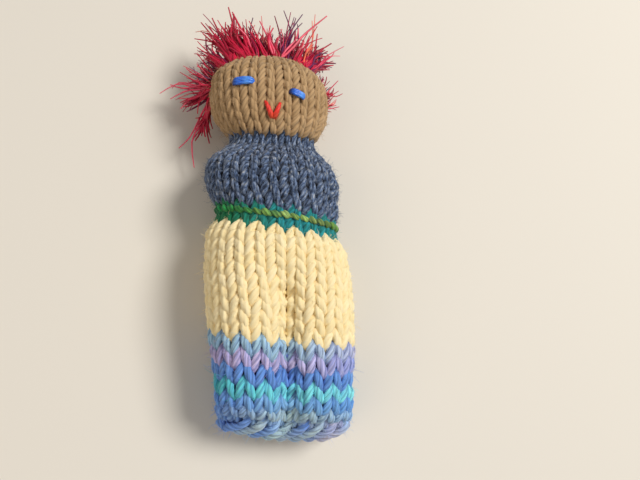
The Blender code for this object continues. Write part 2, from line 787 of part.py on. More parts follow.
def fillings():
    stuffing = make_material("polyester_stuffing", 0.85, 0.84, 0.80, 0.95)
    filling("body_filling", CROTCH + GAP / 2, JUMPER_COVER_TOP - GAP / 2, stuffing)
    filling("neck_filling", JUMPER_COVER_TOP + GAP / 2, CHIN_TOP - GAP / 2, stuffing)
    filling("head_filling", CHIN_TOP + GAP / 2, CROWN - CROWN_THICKNESS - GAP, stuffing)
    leg_filling("left_leg_filling", 1, stuffing)
    leg_filling("right_leg_filling", -1, stuffing)


def threads():
    cream = bpy.data.materials["cream_wool"]
    leg_stitching(cream)
    sole_yarn(bpy.data.materials["boot_blue_wool"])
    back_seam("jumper_back_seam", JUMPER_SEAM, bpy.data.materials["denim_heather_wool"])
    back_seam("head_back_seam", HEAD_SEAM, bpy.data.materials["tan_wool"])
    neck_drawstring(bpy.data.materials["denim_heather_wool"])
    crown_thread(bpy.data.materials["tan_wool"])


def face_stitches():
    blue = make_material("eye_blue_thread", 0.02, 0.16, 0.85, 0.35)
    red = make_material("mouth_red_thread", 0.85, 0.03, 0.02, 0.45)
    left_eye = (LEFT_EYE_SIDE, LEFT_EYE_HEIGHT, LEFT_EYE_LENGTH, LEFT_EYE_DROP)
    right_eye = (RIGHT_EYE_SIDE, RIGHT_EYE_HEIGHT, RIGHT_EYE_LENGTH, RIGHT_EYE_DROP)
    eye_stitches("left_eye_stitches", *left_eye, blue)
    eye_stitches("right_eye_stitches", *right_eye, blue)
    mouth_stitches(red)


def hair():
    crimson = make_material("crimson_eyelash_yarn", 0.50, 0.02, 0.06, 0.40)
    for name, (low_share, high_share, turns, steps, rows) in HAIR_SLICE_SHARES.items():
        low = NECK + HEAD_LENGTH * low_share
        high = NECK + HEAD_LENGTH * high_share
        span = [math.radians(turn) for turn in turns]
        lean = Vector(HAIR_LEAN_SHARES[name])
        hair_slice(name, low, high, span, steps, rows, HAIR_LENGTHS[name], lean, crimson)


def make_collection(name):
    made = bpy.data.collections.new(name)
    bpy.context.scene.collection.children.link(made)
    return made


for existing in list(bpy.data.objects):
    bpy.data.objects.remove(existing, do_unlink=True)
DOLL = make_collection("knitted_doll")
CUTTERS = make_collection("cutters")
covers()
fillings()
threads()
face_stitches()
hair()
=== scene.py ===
# Looks of the knitted doll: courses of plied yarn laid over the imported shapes, in metres.
import math
import bmesh
import bpy
import numpy as np
from mathutils import Matrix, Vector


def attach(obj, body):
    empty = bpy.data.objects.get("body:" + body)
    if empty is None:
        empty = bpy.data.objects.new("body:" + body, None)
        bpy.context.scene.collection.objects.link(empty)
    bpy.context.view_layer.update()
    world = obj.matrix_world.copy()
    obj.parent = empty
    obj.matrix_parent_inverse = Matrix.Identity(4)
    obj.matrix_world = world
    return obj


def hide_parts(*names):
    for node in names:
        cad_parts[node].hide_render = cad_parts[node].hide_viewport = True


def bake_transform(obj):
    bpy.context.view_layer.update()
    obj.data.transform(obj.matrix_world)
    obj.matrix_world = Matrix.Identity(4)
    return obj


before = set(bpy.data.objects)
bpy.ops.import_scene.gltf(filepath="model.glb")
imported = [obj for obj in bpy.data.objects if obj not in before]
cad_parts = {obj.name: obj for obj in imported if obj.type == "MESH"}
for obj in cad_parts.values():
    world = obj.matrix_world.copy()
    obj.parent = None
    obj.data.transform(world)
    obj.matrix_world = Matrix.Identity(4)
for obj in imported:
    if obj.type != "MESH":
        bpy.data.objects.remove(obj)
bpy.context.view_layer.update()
mm = 0.001
print("packed doll loaded")

# The doll's skin: place from the sole up, half width, half depth, height of the back (all mm),
# then how far the rows slope across and how far they sag in front. The values are the CAD's own.
skinStations = np.array([
    (-52.50, 16.97, 1.44, 8.14, 0.11, 0.00),
    (-51.09, 18.79, 5.18, 4.11, 0.11, 0.04),
    (-48.27, 19.69, 9.79, 0.80, 0.12, 0.10),
    (-43.48, 20.00, 13.10, -0.50, 0.13, 0.16),
    (-35.02, 20.20, 14.40, -0.50, 0.15, 0.18),
    (-24.30, 20.78, 15.39, -0.50, 0.16, 0.18),
    (-10.33, 21.20, 16.20, -0.50, 0.18, 0.18),
    (3.32, 20.88, 16.04, -0.50, 0.19, 0.18),
    (9.10, 19.80, 15.70, -0.50, 0.19, 0.18),
    (11.80, 19.80, 15.70, -0.50, 0.19, 0.18),
    (15.74, 20.38, 15.94, -0.50, 0.19, 0.18),
    (22.82, 20.80, 16.10, -0.50, 0.16, 0.18),
    (29.40, 19.66, 15.29, -0.50, 0.12, 0.22),
    (33.95, 17.78, 13.85, -0.11, 0.09, 0.28),
    (36.48, 16.33, 12.72, 0.95, 0.07, 0.30),
    (38.00, 15.60, 12.00, 1.90, 0.06, 0.30),
    (39.83, 16.66, 13.20, 1.09, 0.07, 0.30),
    (42.58, 17.71, 14.47, 0.14, 0.09, 0.28),
    (46.23, 18.58, 15.42, -0.50, 0.12, 0.24),
    (52.03, 19.15, 15.90, -0.50, 0.12, 0.16),
    (56.30, 18.86, 15.66, -0.50, 0.10, 0.10),
    (59.35, 17.52, 14.71, -0.18, 0.08, 0.06),
    (62.40, 15.13, 12.88, 0.93, 0.06, 0.04),
    (65.14, 11.30, 9.86, 3.32, 0.04, 0.02),
    (67.13, 6.89, 6.04, 7.13, 0.00, 0.00),
    (68.50, 1.72, 1.59, 11.90, 0.00, 0.00),
])
doll = {
    # Places in mm. The first tan row lies just above the tie, and the hair starts at faceTop
    "sole": -52.5, "bootTop": -24.3, "crotch": -3.3, "trouserTop": 8.2, "beltTop": 12.7, "neck": 38.0,
    "firstTan": 39.2, "faceTop": 65.0, "crown": 68.5,
    "sectionPower": 2.25, "headLean": 0.04, "back": 1.5 * math.pi,
    # Running stitch that parts the legs: its first pass, and the step from pass to pass
    "legStitch": {"first": -7.7, "pitch": 5.6, "passes": 7},
    "legGroove": {"front": 3.9, "back": 2.6, "width": 3.1, "ramp": 8.0, "soleRamp": 4.0, "pull": 0.16,
                  "pullStart": -5.5, "drift": 0.06},
    "seamGroove": {"depth": 1.9, "width": 2.1, "ramp": 3.0, "jumper": (12.7, 31.9), "head": (42.3, 59.3)},
    # Slouch seen in the photo: the right side drawn in at the waist and the neck (place, reach, depth),
    # and its foot lifted
    "drawnIn": ((11.0, 5.0, 1.5), (36.5, 6.0, 1.9)),
    "footLift": {"height": 2.6, "start": -2.0, "across": 15.0, "reach": 14.0, "power": 1.3},
}


def stationTangents():
    # Level at each peak, so that the outline never swells past a station
    place, values = skinStations[:, :1], skinStations[:, 1:]
    rise = np.diff(values, axis=0) / np.diff(place, axis=0)
    before, after = rise[:-1], rise[1:]
    total = before + after
    inner = np.where(before * after > 0, 2 * before * after / np.where(total == 0, 1, total), 0.0)
    return np.vstack([rise[:1], inner, rise[-1:]])


skinTangents = stationTangents()


def sectionAt(place):
    index = np.clip(np.searchsorted(skinStations[:, 0], place, side="left") - 1, 0, len(skinStations) - 2)
    low, high = skinStations[index], skinStations[index + 1]
    run = (high[:, 0] - low[:, 0])[:, None]
    t = (place - low[:, 0])[:, None] / run
    values = (2 * t**3 - 3 * t**2 + 1) * low[:, 1:] + (3 * t**2 - 2 * t**3) * high[:, 1:]
    values += (t**3 - 2 * t**2 + t) * run * skinTangents[index] + (t**3 - t**2) * run * skinTangents[index + 1]
    return values.T


def ramped(distance, reach):
    return np.clip(distance / reach, 0, 1)


def bell(distance, reach):
    return np.exp(-(distance / reach) ** 2)


def grooveDepth(place, x, front):
    leg, seam = doll["legGroove"], doll["seamGroove"]
    below, above = ramped(doll["crotch"] - place, leg["ramp"]), ramped(place - doll["sole"], leg["soleRamp"])
    middle = np.clip((place - doll["bootTop"]) * leg["drift"], 0, 2)
    split = below * above * bell(x - middle, leg["width"])
    # The sewing thread draws the wool in at every pass
    split *= 1 + leg["pull"] * np.cos((place - leg["pullStart"]) / doll["legStitch"]["pitch"] * math.tau)
    channel = np.zeros_like(place)
    for start, end in (seam["jumper"], seam["head"]):
        channel += ramped(place - start, seam["ramp"]) * ramped(end - place, seam["ramp"])
    channel *= bell(x, seam["width"])
    return np.where(front, leg["front"] * split, leg["back"] * split + seam["depth"] * channel)


def bareSkin(place, turn):
    # A point of the skin in mm. Turn 0 is the doll's left side, 90 degrees its front
    place, turn = np.broadcast_arrays(np.asarray(place, float), np.asarray(turn, float))
    halfWidth, halfDepth, back, slope, sag = sectionAt(place)
    across, up = np.cos(turn), np.sin(turn)
    power = 2 / doll["sectionPower"]
    x = halfWidth * np.sign(across) * np.abs(across) ** power
    rise = halfDepth * np.sign(up) * np.abs(up) ** power
    rise = rise - np.sign(up) * grooveDepth(place, x, up > 0)
    y = place - sag * rise
    z = np.maximum(back + halfDepth + rise, 0.0)
    foot = doll["footLift"]
    near = np.clip(1 - (place - doll["sole"]) / foot["reach"], 0, 1) ** 2
    y += foot["height"] * near * ramped(foot["start"] - x, foot["across"]) ** foot["power"]
    right = ramped(-x, halfWidth) ** 2
    for middle, reach, depth in doll["drawnIn"]:
        x = x + depth * right * bell(place - middle, reach)
    lean = doll["headLean"] * np.maximum(place - doll["neck"], 0.0)
    return np.stack([x + lean, y - slope * (x + lean), z], axis=-1)


def measureFabric():
    # Length of fabric from the sole, because the sole and the crown curve in quickly
    places = np.linspace(doll["sole"], doll["crown"], 800)
    halfWidth, halfDepth = sectionAt(places)[:2]
    radius = (halfWidth + halfDepth) / 2
    return places, np.concatenate([[0], np.cumsum(np.hypot(np.diff(places), np.diff(radius)))])


fabricPlaces, fabricRuns = measureFabric()


def placeAtRun(run):
    return np.interp(run, fabricRuns, fabricPlaces)


def runAtPlace(place):
    return float(np.interp(place, fabricPlaces, fabricRuns))


def addObject(name, data):
    made = bpy.data.objects.new(name, data)
    bpy.context.scene.collection.objects.link(made)
    return made


swell = {
    # Stuffing presses the wool out between the rows that hold it in. Mesh, cloth and furthest move (mm)
    "rows": 84, "around": 76, "end": 0.6, "frames": 20, "enlarge": 10.0, "cap": 1.0,
    "pressure": 3.0, "extra": 0.07, "tension": 18.0, "bending": 1.2, "mass": 0.3, "quality": 5,
    # Rows held in by the sole seam, the belt, the drawstring and the crown thread: place and reach (mm).
    # Then what lies on the table, the reach of a sewn pass along and across, and of a back seam across
    "held": ((-52.5, 1.4), (10.4, 1.6), (38.0, 2.4), (68.5, 3.0)),
    "table": 0.4, "passAlong": 1.3, "passAcross": 1.8, "seamAcross": 2.0, "loose": 0.2,
}


def heldShare(place, turn, skin):
    # How firmly each point of the skin is held: 1 is sewn down or lies on the table
    held = skin[:, 2] < swell["table"]
    for middle, reach in swell["held"]:
        held = np.maximum(held, bell(place - middle, reach))
    first, pitch = doll["legStitch"]["first"], doll["legStitch"]["pitch"]
    nearest = (place - first + pitch / 2) % pitch - pitch / 2
    sewn = np.exp(-(nearest / swell["passAlong"]) ** 2 - (skin[:, 0] / swell["passAcross"]) ** 2)
    sewn = sewn * (place < doll["crotch"])
    for start, end in (doll["seamGroove"]["jumper"], doll["seamGroove"]["head"]):
        seam = bell(skin[:, 0], swell["seamAcross"]) * (place > start) * (place < end) * (np.sin(turn) < 0)
        sewn = np.maximum(sewn, seam)
    return np.maximum(held, sewn)


def simulateSkin(rest, share, faces):
    # The plain skin as cloth under the pressure of the stuffing: where each of its points settles
    size = mm * swell["enlarge"]
    mesh = bpy.data.meshes.new("stuffedSkin")
    mesh.from_pydata([tuple(p * size) for p in rest], [], faces)
    skin = addObject("stuffedSkin", mesh)
    group = skin.vertex_groups.new(name="held")
    for index, held in enumerate(share):
        group.add([index], float(held), "REPLACE")
    cloth = skin.modifiers.new("stuffed wool", "CLOTH")
    settings = cloth.settings
    settings.quality = swell["quality"]
    settings.mass = swell["mass"]
    settings.tension_stiffness = settings.compression_stiffness = swell["tension"]
    settings.shear_stiffness = swell["tension"] / 3
    settings.bending_stiffness = swell["bending"]
    settings.vertex_group_mass = "held"
    settings.shrink_min = -swell["extra"]
    settings.use_pressure = True
    settings.uniform_pressure_force = swell["pressure"]
    settings.effector_weights.gravity = 0
    cloth.collision_settings.use_collision = False
    cloth.point_cache.frame_start, cloth.point_cache.frame_end = 1, swell["frames"]
    for step in range(1, swell["frames"] + 1):
        bpy.context.scene.frame_set(step)
    settled = skin.evaluated_get(bpy.context.evaluated_depsgraph_get()).data
    moved = np.empty(len(mesh.vertices) * 3)
    settled.vertices.foreach_get("co", moved)
    bpy.context.scene.frame_set(1)
    bpy.data.objects.remove(skin)
    return moved.reshape(-1, 3) / size


def swellSkin():
    # The simulated swelling, kept as how far each point of the skin moves out
    rows, around = swell["rows"], swell["around"]
    places = placeAtRun(np.linspace(swell["end"], fabricRuns[-1] - swell["end"], rows))
    place, turn = np.repeat(places, around), np.tile(np.arange(around) * math.tau / around, rows)
    rest = bareSkin(place, turn)
    ends = np.stack([rest[:around].mean(axis=0), rest[-around:].mean(axis=0)])
    faces = []
    for j in range(around):
        after = (j + 1) % around
        for i in range(rows - 1):
            faces.append((i * around + j, (i + 1) * around + j, (i + 1) * around + after, i * around + after))
        faces.append((rows * around, j, after))
        faces.append((rows * around + 1, (rows - 1) * around + after, (rows - 1) * around + j))
    held = heldShare(place, turn, rest)
    move = simulateSkin(np.vstack([rest, ends]), list(held) + [1.0, 1.0], faces)[:-2] - rest
    out = move[:, 0] * np.cos(turn) + move[:, 2] * np.sin(turn)
    print("stuffed skin moved by", np.percentile(out, [5, 50, 95]).round(2), "mm")
    field = np.clip(out - np.median(out[held < swell["loose"]]), -swell["cap"], swell["cap"])
    field = field.reshape(rows, around)
    for smoothing in range(2):
        field = (np.roll(field, 1, axis=1) + 2 * field + np.roll(field, -1, axis=1)) / 4
    inner = (field[:-2] + 2 * field[1:-1] + field[2:]) / 4
    return places, np.vstack([field[:1], inner, field[-1:]])


swellPlaces, swellField = swellSkin()


def swellAt(place, turn):
    row = np.interp(place, swellPlaces, np.arange(len(swellPlaces)))
    column = turn / math.tau * swell["around"] % swell["around"]
    low, left = np.floor(row).astype(int), np.floor(column).astype(int) % swell["around"]
    high, right = np.minimum(low + 1, len(swellPlaces) - 1), (left + 1) % swell["around"]
    up, across = row - low, column - np.floor(column)
    below = swellField[low, left] * (1 - across) + swellField[low, right] * across
    above = swellField[high, left] * (1 - across) + swellField[high, right] * across
    return below * (1 - up) + above * up


def skinAt(place, turn):
    # The stuffed skin: the bare form and the swelling
    place, turn = np.broadcast_arrays(np.asarray(place, float), np.asarray(turn, float))
    out = np.stack([np.cos(turn), np.zeros(turn.shape), np.sin(turn)], axis=-1)
    skin = bareSkin(place, turn) + out * swellAt(place, turn)[..., None]
    skin[..., 2] = np.maximum(skin[..., 2], 0.0)
    return skin


normalStep = {"along": 0.35, "radius": 21, "end": 0.02}


def skinNormal(place, turn):
    low, high = doll["sole"] + normalStep["end"], doll["crown"] - normalStep["end"]
    step, swing = normalStep["along"], normalStep["along"] / normalStep["radius"]
    along = skinAt(np.clip(place + step, low, high), turn) - skinAt(np.clip(place - step, low, high), turn)
    around = skinAt(place, turn + swing) - skinAt(place, turn - swing)
    normal = np.cross(along, around)
    return normal / np.maximum(np.linalg.norm(normal, axis=-1, keepdims=True), 1e-9)


def underSkin(place, turn, inset):
    return skinAt(place, turn) - skinNormal(place, turn) * np.asarray(inset)[..., None]


def keepAbove(points, height):
    # The doll lies on its flat back, so the table stops what would sink below it
    points[:, 2] = np.maximum(points[:, 2], height)
    return points


def turnsByLength(place, shares, inset):
    # Share 0 is the centre back. It runs over the doll's left side, its front and its right side
    turns = np.linspace(-math.pi / 2, doll["back"], 721)
    points = underSkin(place, turns, inset)
    reach = np.concatenate([[0], np.cumsum(np.linalg.norm(np.diff(points, axis=0), axis=1))])
    whole = np.floor(shares)
    return np.interp(shares - whole, reach / reach[-1], turns) + whole * math.tau, reach[-1]


def addNode(tree, kind, links=None, **settings):
    node = tree.nodes.new(kind)
    for name, value in settings.items():
        setattr(node, name, value)
    for socket, source in (links or {}).items():
        if isinstance(source, bpy.types.NodeSocket):
            tree.links.new(source, node.inputs[socket])
        else:
            node.inputs[socket].default_value = source
    return node


def result(tree, kind, links=None, **settings):
    return addNode(tree, kind, links, **settings).outputs[0]


def calc(tree, operation, *values):
    return result(tree, "ShaderNodeMath", dict(enumerate(values)), operation=operation)


def scaled(tree, vector, factor):
    return result(tree, "ShaderNodeVectorMath", {0: vector, "Scale": factor}, operation="SCALE")


def remap(tree, value, fromLow, fromHigh, toLow, toHigh):
    return result(tree, "ShaderNodeMapRange", dict(enumerate((value, fromLow, fromHigh, toLow, toHigh))))


def mixColours(tree, share, base, other):
    return addNode(tree, "ShaderNodeMix", {0: share, 6: base, 7: other}, data_type="RGBA").outputs[2]


def noise(tree, vector, scale, **values):
    return result(tree, "ShaderNodeTexNoise", {"Vector": vector, "Scale": scale, **values})


def dyeRamp(tree, factor, stops):
    ramp = addNode(tree, "ShaderNodeValToRGB", {"Fac": factor})
    for place, dye in stops[1:-1]:
        ramp.color_ramp.elements.new(place)
    for element, (place, dye) in zip(ramp.color_ramp.elements, stops):
        element.position = place
        element.color = toLinear(dye)
    return ramp.outputs[0]


def toLinear(hexColour):
    parts = [int(hexColour[i:i + 2], 16) / 255 for i in (1, 3, 5)]
    return tuple(c / 12.92 if c <= 0.04045 else ((c + 0.055) / 1.055) ** 2.4 for c in parts) + (1.0,)


def newTree(name, inputs):
    tree = bpy.data.node_groups.new(name, "GeometryNodeTree")
    for label, (kind, value) in inputs.items():
        socket = tree.interface.new_socket(name=label, in_out="INPUT", socket_type="NodeSocket" + kind)
        if value is not None:
            socket.default_value = value
    tree.interface.new_socket(name="Geometry", in_out="OUTPUT", socket_type="NodeSocketGeometry")
    return tree, tree.nodes.new("NodeGroupInput").outputs


def readValue(tree, name, kind="FLOAT"):
    return result(tree, "GeometryNodeInputNamedAttribute", {"Name": name}, data_type=kind)


def keepValue(tree, geometry, name, value, kind="FLOAT"):
    links = {"Geometry": geometry, "Name": name, "Value": value}
    return result(tree, "GeometryNodeStoreNamedAttribute", links, data_type=kind, domain="POINT")


def sweepRing(tree, path, ring, girth, material):
    links = {"Curve": path, "Profile Curve": ring, "Scale": girth, "Fill Caps": True}
    swept = result(tree, "GeometryNodeCurveToMesh", links)
    smooth = result(tree, "GeometryNodeSetShadeSmooth", {"Geometry": swept, "Shade Smooth": True})
    whole = result(tree, "GeometryNodeRealizeInstances", {"Geometry": smooth})
    done = result(tree, "GeometryNodeSetMaterial", {"Geometry": whole, "Material": material})
    addNode(tree, "NodeGroupOutput", {"Geometry": done})
    return tree


def runTree(source, tree, values):
    # The result becomes a plain mesh, so no modifier is left on the piece
    modifier = source.modifiers.new(tree.name, "NODES")
    modifier.node_group = tree
    for item in tree.interface.items_tree:
        if item.item_type == "SOCKET" and item.in_out == "INPUT" and item.name in values:
            modifier[item.identifier] = values[item.name]
    graph = bpy.context.evaluated_depsgraph_get()
    evaluated = source.evaluated_get(graph)
    mesh = bpy.data.meshes.new_from_object(evaluated, preserve_all_data_layers=True, depsgraph=graph)
    source.modifiers.remove(modifier)
    name = source.name
    bpy.data.objects.remove(source)
    mesh.name = name
    print(name, len(mesh.polygons), "faces")
    return addObject(name, mesh)


def writeValues(mesh, label, kind, values):
    field = {"FLOAT": "value", "FLOAT_VECTOR": "vector", "FLOAT_COLOR": "color"}[kind]
    layer = mesh.attributes.new(label, kind, "POINT")
    layer.data.foreach_set(field, np.asarray(values, np.float32).ravel())


def yarnTree():
    # Sweeps a twisted, plied yarn along every path of the incoming mesh
    tree, given = newTree("plied yarn", {
        "Geometry": ("Geometry", None), "Yarn radius": ("Float", 0.001), "Plies": ("Int", 4),
        "Ply depth": ("Float", 0.2), "Twist length": ("Float", 0.009), "Points round": ("Int", 16),
        "Yarn": ("Material", None),
    })
    path = result(tree, "GeometryNodeMeshToCurve", {"Mesh": given["Geometry"]})
    along = addNode(tree, "GeometryNodeSplineParameter").outputs
    length = addNode(tree, "GeometryNodeSplineLength").outputs["Length"]
    # The twist is rounded to whole plies, so that a closed course joins up
    plied = calc(tree, "MULTIPLY", calc(tree, "DIVIDE", length, given["Twist length"]), given["Plies"])
    spins = calc(tree, "DIVIDE", calc(tree, "ROUND", plied), given["Plies"])
    tilt = calc(tree, "MULTIPLY", calc(tree, "MULTIPLY", spins, math.tau), along["Factor"])
    path = result(tree, "GeometryNodeSetCurveTilt", {"Curve": path, "Tilt": tilt})
    path = keepValue(tree, path, "along", along["Length"])
    size = {"Resolution": given["Points round"], "Radius": given["Yarn radius"]}
    ring = result(tree, "GeometryNodeCurvePrimitiveCircle", size)
    place = result(tree, "GeometryNodeInputPosition")
    way = result(tree, "ShaderNodeVectorMath", {0: place}, operation="NORMALIZE")
    ring = keepValue(tree, ring, "around", way, "FLOAT_VECTOR")
    # Each ply is a hump of the profile
    angle = calc(tree, "MULTIPLY", calc(tree, "MULTIPLY", along["Factor"], given["Plies"]), math.pi)
    hump = calc(tree, "ABSOLUTE", calc(tree, "SINE", angle))
    # The hump is kept as 'ply', from which the material paints shade into the furrows between the plies
    ring = keepValue(tree, ring, "ply", hump)
    lack = calc(tree, "MULTIPLY", calc(tree, "SUBTRACT", 1.0, hump), given["Ply depth"])
    drawn = scaled(tree, place, calc(tree, "SUBTRACT", 1.0, lack))
    ring = result(tree, "GeometryNodeSetPosition", {"Geometry": ring, "Position": drawn})
    return sweepRing(tree, path, ring, readValue(tree, "girth"), given["Yarn"])


pliedYarn = yarnTree()


def yarnPath(points, dye, girth=1.0, deep=0.0, closed=False):
    # Points in mm, whether they close, and the dye, girth and depth along the way. The depth sets how much
    # painted shade the wool material lays on
    return {"points": np.asarray(points, float), "closed": closed, "dye": dye, "girth": girth, "deep": deep}


def spinYarn(name, paths, yarn, material):
    points, edges, dye, girth, deep = [], [], [], [], []
    for path in paths:
        start, count = len(points), len(path["points"])
        points += [tuple(p * mm) for p in path["points"]]
        edges += [(start + i, start + i + 1) for i in range(count - 1)]
        if path["closed"]:
            edges.append((start + count - 1, start))
        dye.append(np.broadcast_to(path["dye"], (count, 4)))
        girth.append(np.broadcast_to(path["girth"], count))
        deep.append(np.broadcast_to(path["deep"], count))
    mesh = bpy.data.meshes.new(name)
    mesh.from_pydata(points, edges, [])
    kept = ("dye", "FLOAT_COLOR", dye), ("girth", "FLOAT", girth), ("deep", "FLOAT", deep)
    for label, kind, values in kept:
        writeValues(mesh, label, kind, np.concatenate(values))
    return runTree(addObject(name, mesh), pliedYarn, {
        "Yarn radius": yarn["radius"] * mm, "Plies": yarn["plies"], "Ply depth": yarn["plyDepth"],
        "Twist length": yarn["twist"] * mm, "Points round": yarn["pointsRound"], "Yarn": material,
    })


def wobble(chance, count, samples, amount):
    # An uneven hand: one random value for each stitch, eased from stitch to stitch round the course
    knots = chance.uniform(-amount, amount, count)
    t = np.arange(count * samples) / samples
    low = np.floor(t).astype(int)
    ease = (1 - np.cos((t - low) * math.pi)) / 2
    return knots[low % count] * (1 - ease) + knots[(low + 1) % count] * ease


wool = {"radius": 1.36, "plies": 4, "plyDepth": 0.19, "twist": 13.5, "pointsRound": 16}
# A course of stocking stitch: loops round the tube, how deep the yarn sinks, how the hand drifts to the
# side, along and in, the gap to the table, and the width that a loop of full girth needs (yarn radii)
stocking = {"stitches": 20, "samples": 22, "sink": 0.94, "sideDrift": 0.35, "rowDrift": 0.5, "depthDrift": 1.2,
            "rest": 0.9, "fullWidth": 3.7, "pathInset": 1.3, "lowest": 0.0}


def layCourse(run, pitch, knit, chance, dyeAt):
    # One closed course of loops. Their legs lie on the skin as V shapes, their heads and feet behind
    stitches, samples, uneven = knit["stitches"], knit["samples"], knit["uneven"]
    radius = knit["yarn"]["radius"]
    phase = np.arange(stitches * samples) * math.tau / samples
    height = pitch * knit["loopHeight"] * (1 + wobble(chance, stitches, samples, uneven))
    shares = (phase - knit["lean"] * np.sin(2 * phase)) / (math.tau * stitches)
    shares = shares + wobble(chance, stitches, samples, uneven * knit["sideDrift"]) / stitches
    runs = run - height * np.cos(phase)
    runs = runs + wobble(chance, stitches, samples, uneven * knit["rowDrift"]) * pitch
    places = placeAtRun(np.clip(runs, knit["lowest"], fabricRuns[-1]))
    hidden = 1 + np.cos(2 * phase)
    inset = radius * knit["sink"] + knit["loopDepth"] * hidden
    inset = inset + wobble(chance, stitches, samples, uneven) * knit["depthDrift"]
    turns, around = turnsByLength(float(placeAtRun(run)), shares, knit["pathInset"])
    points = keepAbove(underSkin(places, turns, inset), radius * knit["rest"])
    narrow = min(1.0, around / stitches / (radius * knit["fullWidth"]))
    # Half the loop's depth behind the fabric is kept as its depth, which sets the painted shade of the hidden
    # loops
    return yarnPath(points, dyeAt(run, shares), narrow * (1 - knit["pinch"] * hidden / 2), hidden / 2, True)


def evenDye(base, other, seed):
    # The dye drifts a little along the yarn
    base, drift = np.array(toLinear(base)), np.array(toLinear(other))

    def dyeAt(run, shares):
        swing = 0.5 + 0.5 * np.sin(shares * 21 + run * 1.7 + seed) * np.sin(shares * 8.3 - run * 0.9)
        return base + (drift - base) * swing[:, None]
    return dyeAt


def mixStops(position, stops):
    # Colour at a position among (position, hex) stops
    at = np.array([stop[0] for stop in stops])
    colours = np.array([toLinear(stop[1]) for stop in stops])
    return np.stack([np.interp(position, at, colours[:, i]) for i in range(4)], axis=-1)


def newMaterial(name, values):
    material = bpy.data.materials.new(name)
    material.use_nodes = True
    inputs = material.node_tree.nodes["Principled BSDF"].inputs
    for socket, value in values.items():
        inputs[socket].default_value = value
    return material, material.node_tree, inputs


# What most of the wools share. Fibre length and bump in mm, fibres counted round the yarn
# Each look adds its painted shade: the shade colour, and how far it fills the ply furrows and the hidden loops
woolLook = {"fibreLength": 3.0, "fibresRound": 4.0, "roughness": 0.85, "specular": 0.2, "sheen": 0.15,
            "bump": 0.8, "deepRange": (0.15, 0.8)}


def woolMaterial(name, look):
    # Wool spun from short fibres: matt, with a soft sheen and fine streaks. Painted shade darkens the furrows
    # between the plies and the loops that run behind the fabric
    material, tree, inputs = newMaterial(name, {
        "Roughness": look["roughness"], "Specular IOR Level": look["specular"], "Sheen Weight": look["sheen"],
        "Sheen Roughness": 0.5})
    dye = addNode(tree, "ShaderNodeAttribute", attribute_name="dye").outputs["Color"]
    around = addNode(tree, "ShaderNodeAttribute", attribute_name="around").outputs["Vector"]
    along, ply, deep = (addNode(tree, "ShaderNodeAttribute", attribute_name=label).outputs["Fac"]
                        for label in ("along", "ply", "deep"))
    side = addNode(tree, "ShaderNodeSeparateXYZ", {0: around}).outputs
    x, y = (calc(tree, "MULTIPLY", side[axis], look["fibresRound"]) for axis in ("X", "Y"))
    far = calc(tree, "MULTIPLY", along, 1 / (look["fibreLength"] * mm))
    fibre = result(tree, "ShaderNodeCombineXYZ", {"X": x, "Y": y, "Z": far})
    streak = noise(tree, fibre, 1.0, Detail=3.0, Roughness=0.6)
    colour = dye
    if "marl" in look:
        # Each ply took the dye a little differently, in patches longer than a stitch
        slow = result(tree, "ShaderNodeVectorMath", {0: fibre, 1: look["marlScale"]}, operation="MULTIPLY")
        patch = remap(tree, noise(tree, slow, 1.0, Detail=1.0), 0.42, 0.62, 0.0, look["marlShare"])
        colour = mixColours(tree, patch, dye, toLinear(look["marl"]))
    if "flecks" in look:
        # Heather yarn: dark, pale and coloured fibres carded together before spinning
        fleck = noise(tree, fibre, look["fleckScale"], Detail=2.0, Roughness=0.7)
        colour = mixColours(tree, look["fleckShare"], dye, dyeRamp(tree, fleck, look["flecks"]))
    light = remap(tree, streak, 0.3, 0.7, 1 - look["streaks"], 1 + look["streaks"] * 0.6)
    # Painted shade: the shade colour is mixed in by the ply furrows and by the depth of the hidden loops,
    # whichever is stronger
    furrow = remap(tree, ply, 0.0, 0.8, look["furrow"], 0.0)
    hidden = remap(tree, deep, *look["deepRange"], 0.0, look["hidden"])
    shadow = calc(tree, "MAXIMUM", furrow, hidden)
    colour = mixColours(tree, shadow, scaled(tree, colour, light), toLinear(look["shade"]))
    tree.links.new(colour, inputs["Base Color"])
    relief = {"Height": streak, "Strength": look["bump"], "Distance": 0.25 * mm}
    tree.links.new(result(tree, "ShaderNodeBump", relief), inputs["Normal"])
    return material


settledAs = {}
# Where each joint's two bodies share the fabric: the run of places (mm), at the height of the neck's middle
torsoToCore = {"bodies": ("torso", "neck_core"), "span": (23.0, 36.2)}
coreToTie = {"bodies": ("neck_core", "neck_tie"), "span": (36.2, 39.8)}
tieToHead = {"bodies": ("neck_tie", "head"), "span": (39.8, 48.0)}
padding = {"knit": 0.9, "stuffing": 0.85}


def settle(piece, nodes, slot, hold, fill=None):
    # Attaches the finished piece to the body that holds it, or bakes its place when two bodies share it, hides
    # the CAD parts it stands for and notes its slot and holder
    if isinstance(hold, str):
        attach(piece, hold)
    else:
        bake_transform(piece)
    if nodes:
        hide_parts(*nodes)
    settledAs[piece.name] = slot, hold


def knitPiece(part, low, high, dyeAt, material, hold):
    chance = np.random.default_rng(part["seed"])
    pitch = (high - low) / part["courses"]
    middles = [low + (row + 0.5) * pitch for row in range(part["courses"])]
    courses = [layCourse(run, pitch, part["knit"], chance, dyeAt) for run in middles]
    piece = spinYarn(part["piece"], courses, part["knit"]["yarn"], material)
    settle(piece, part["nodes"], part["slot"], hold, padding["knit"])


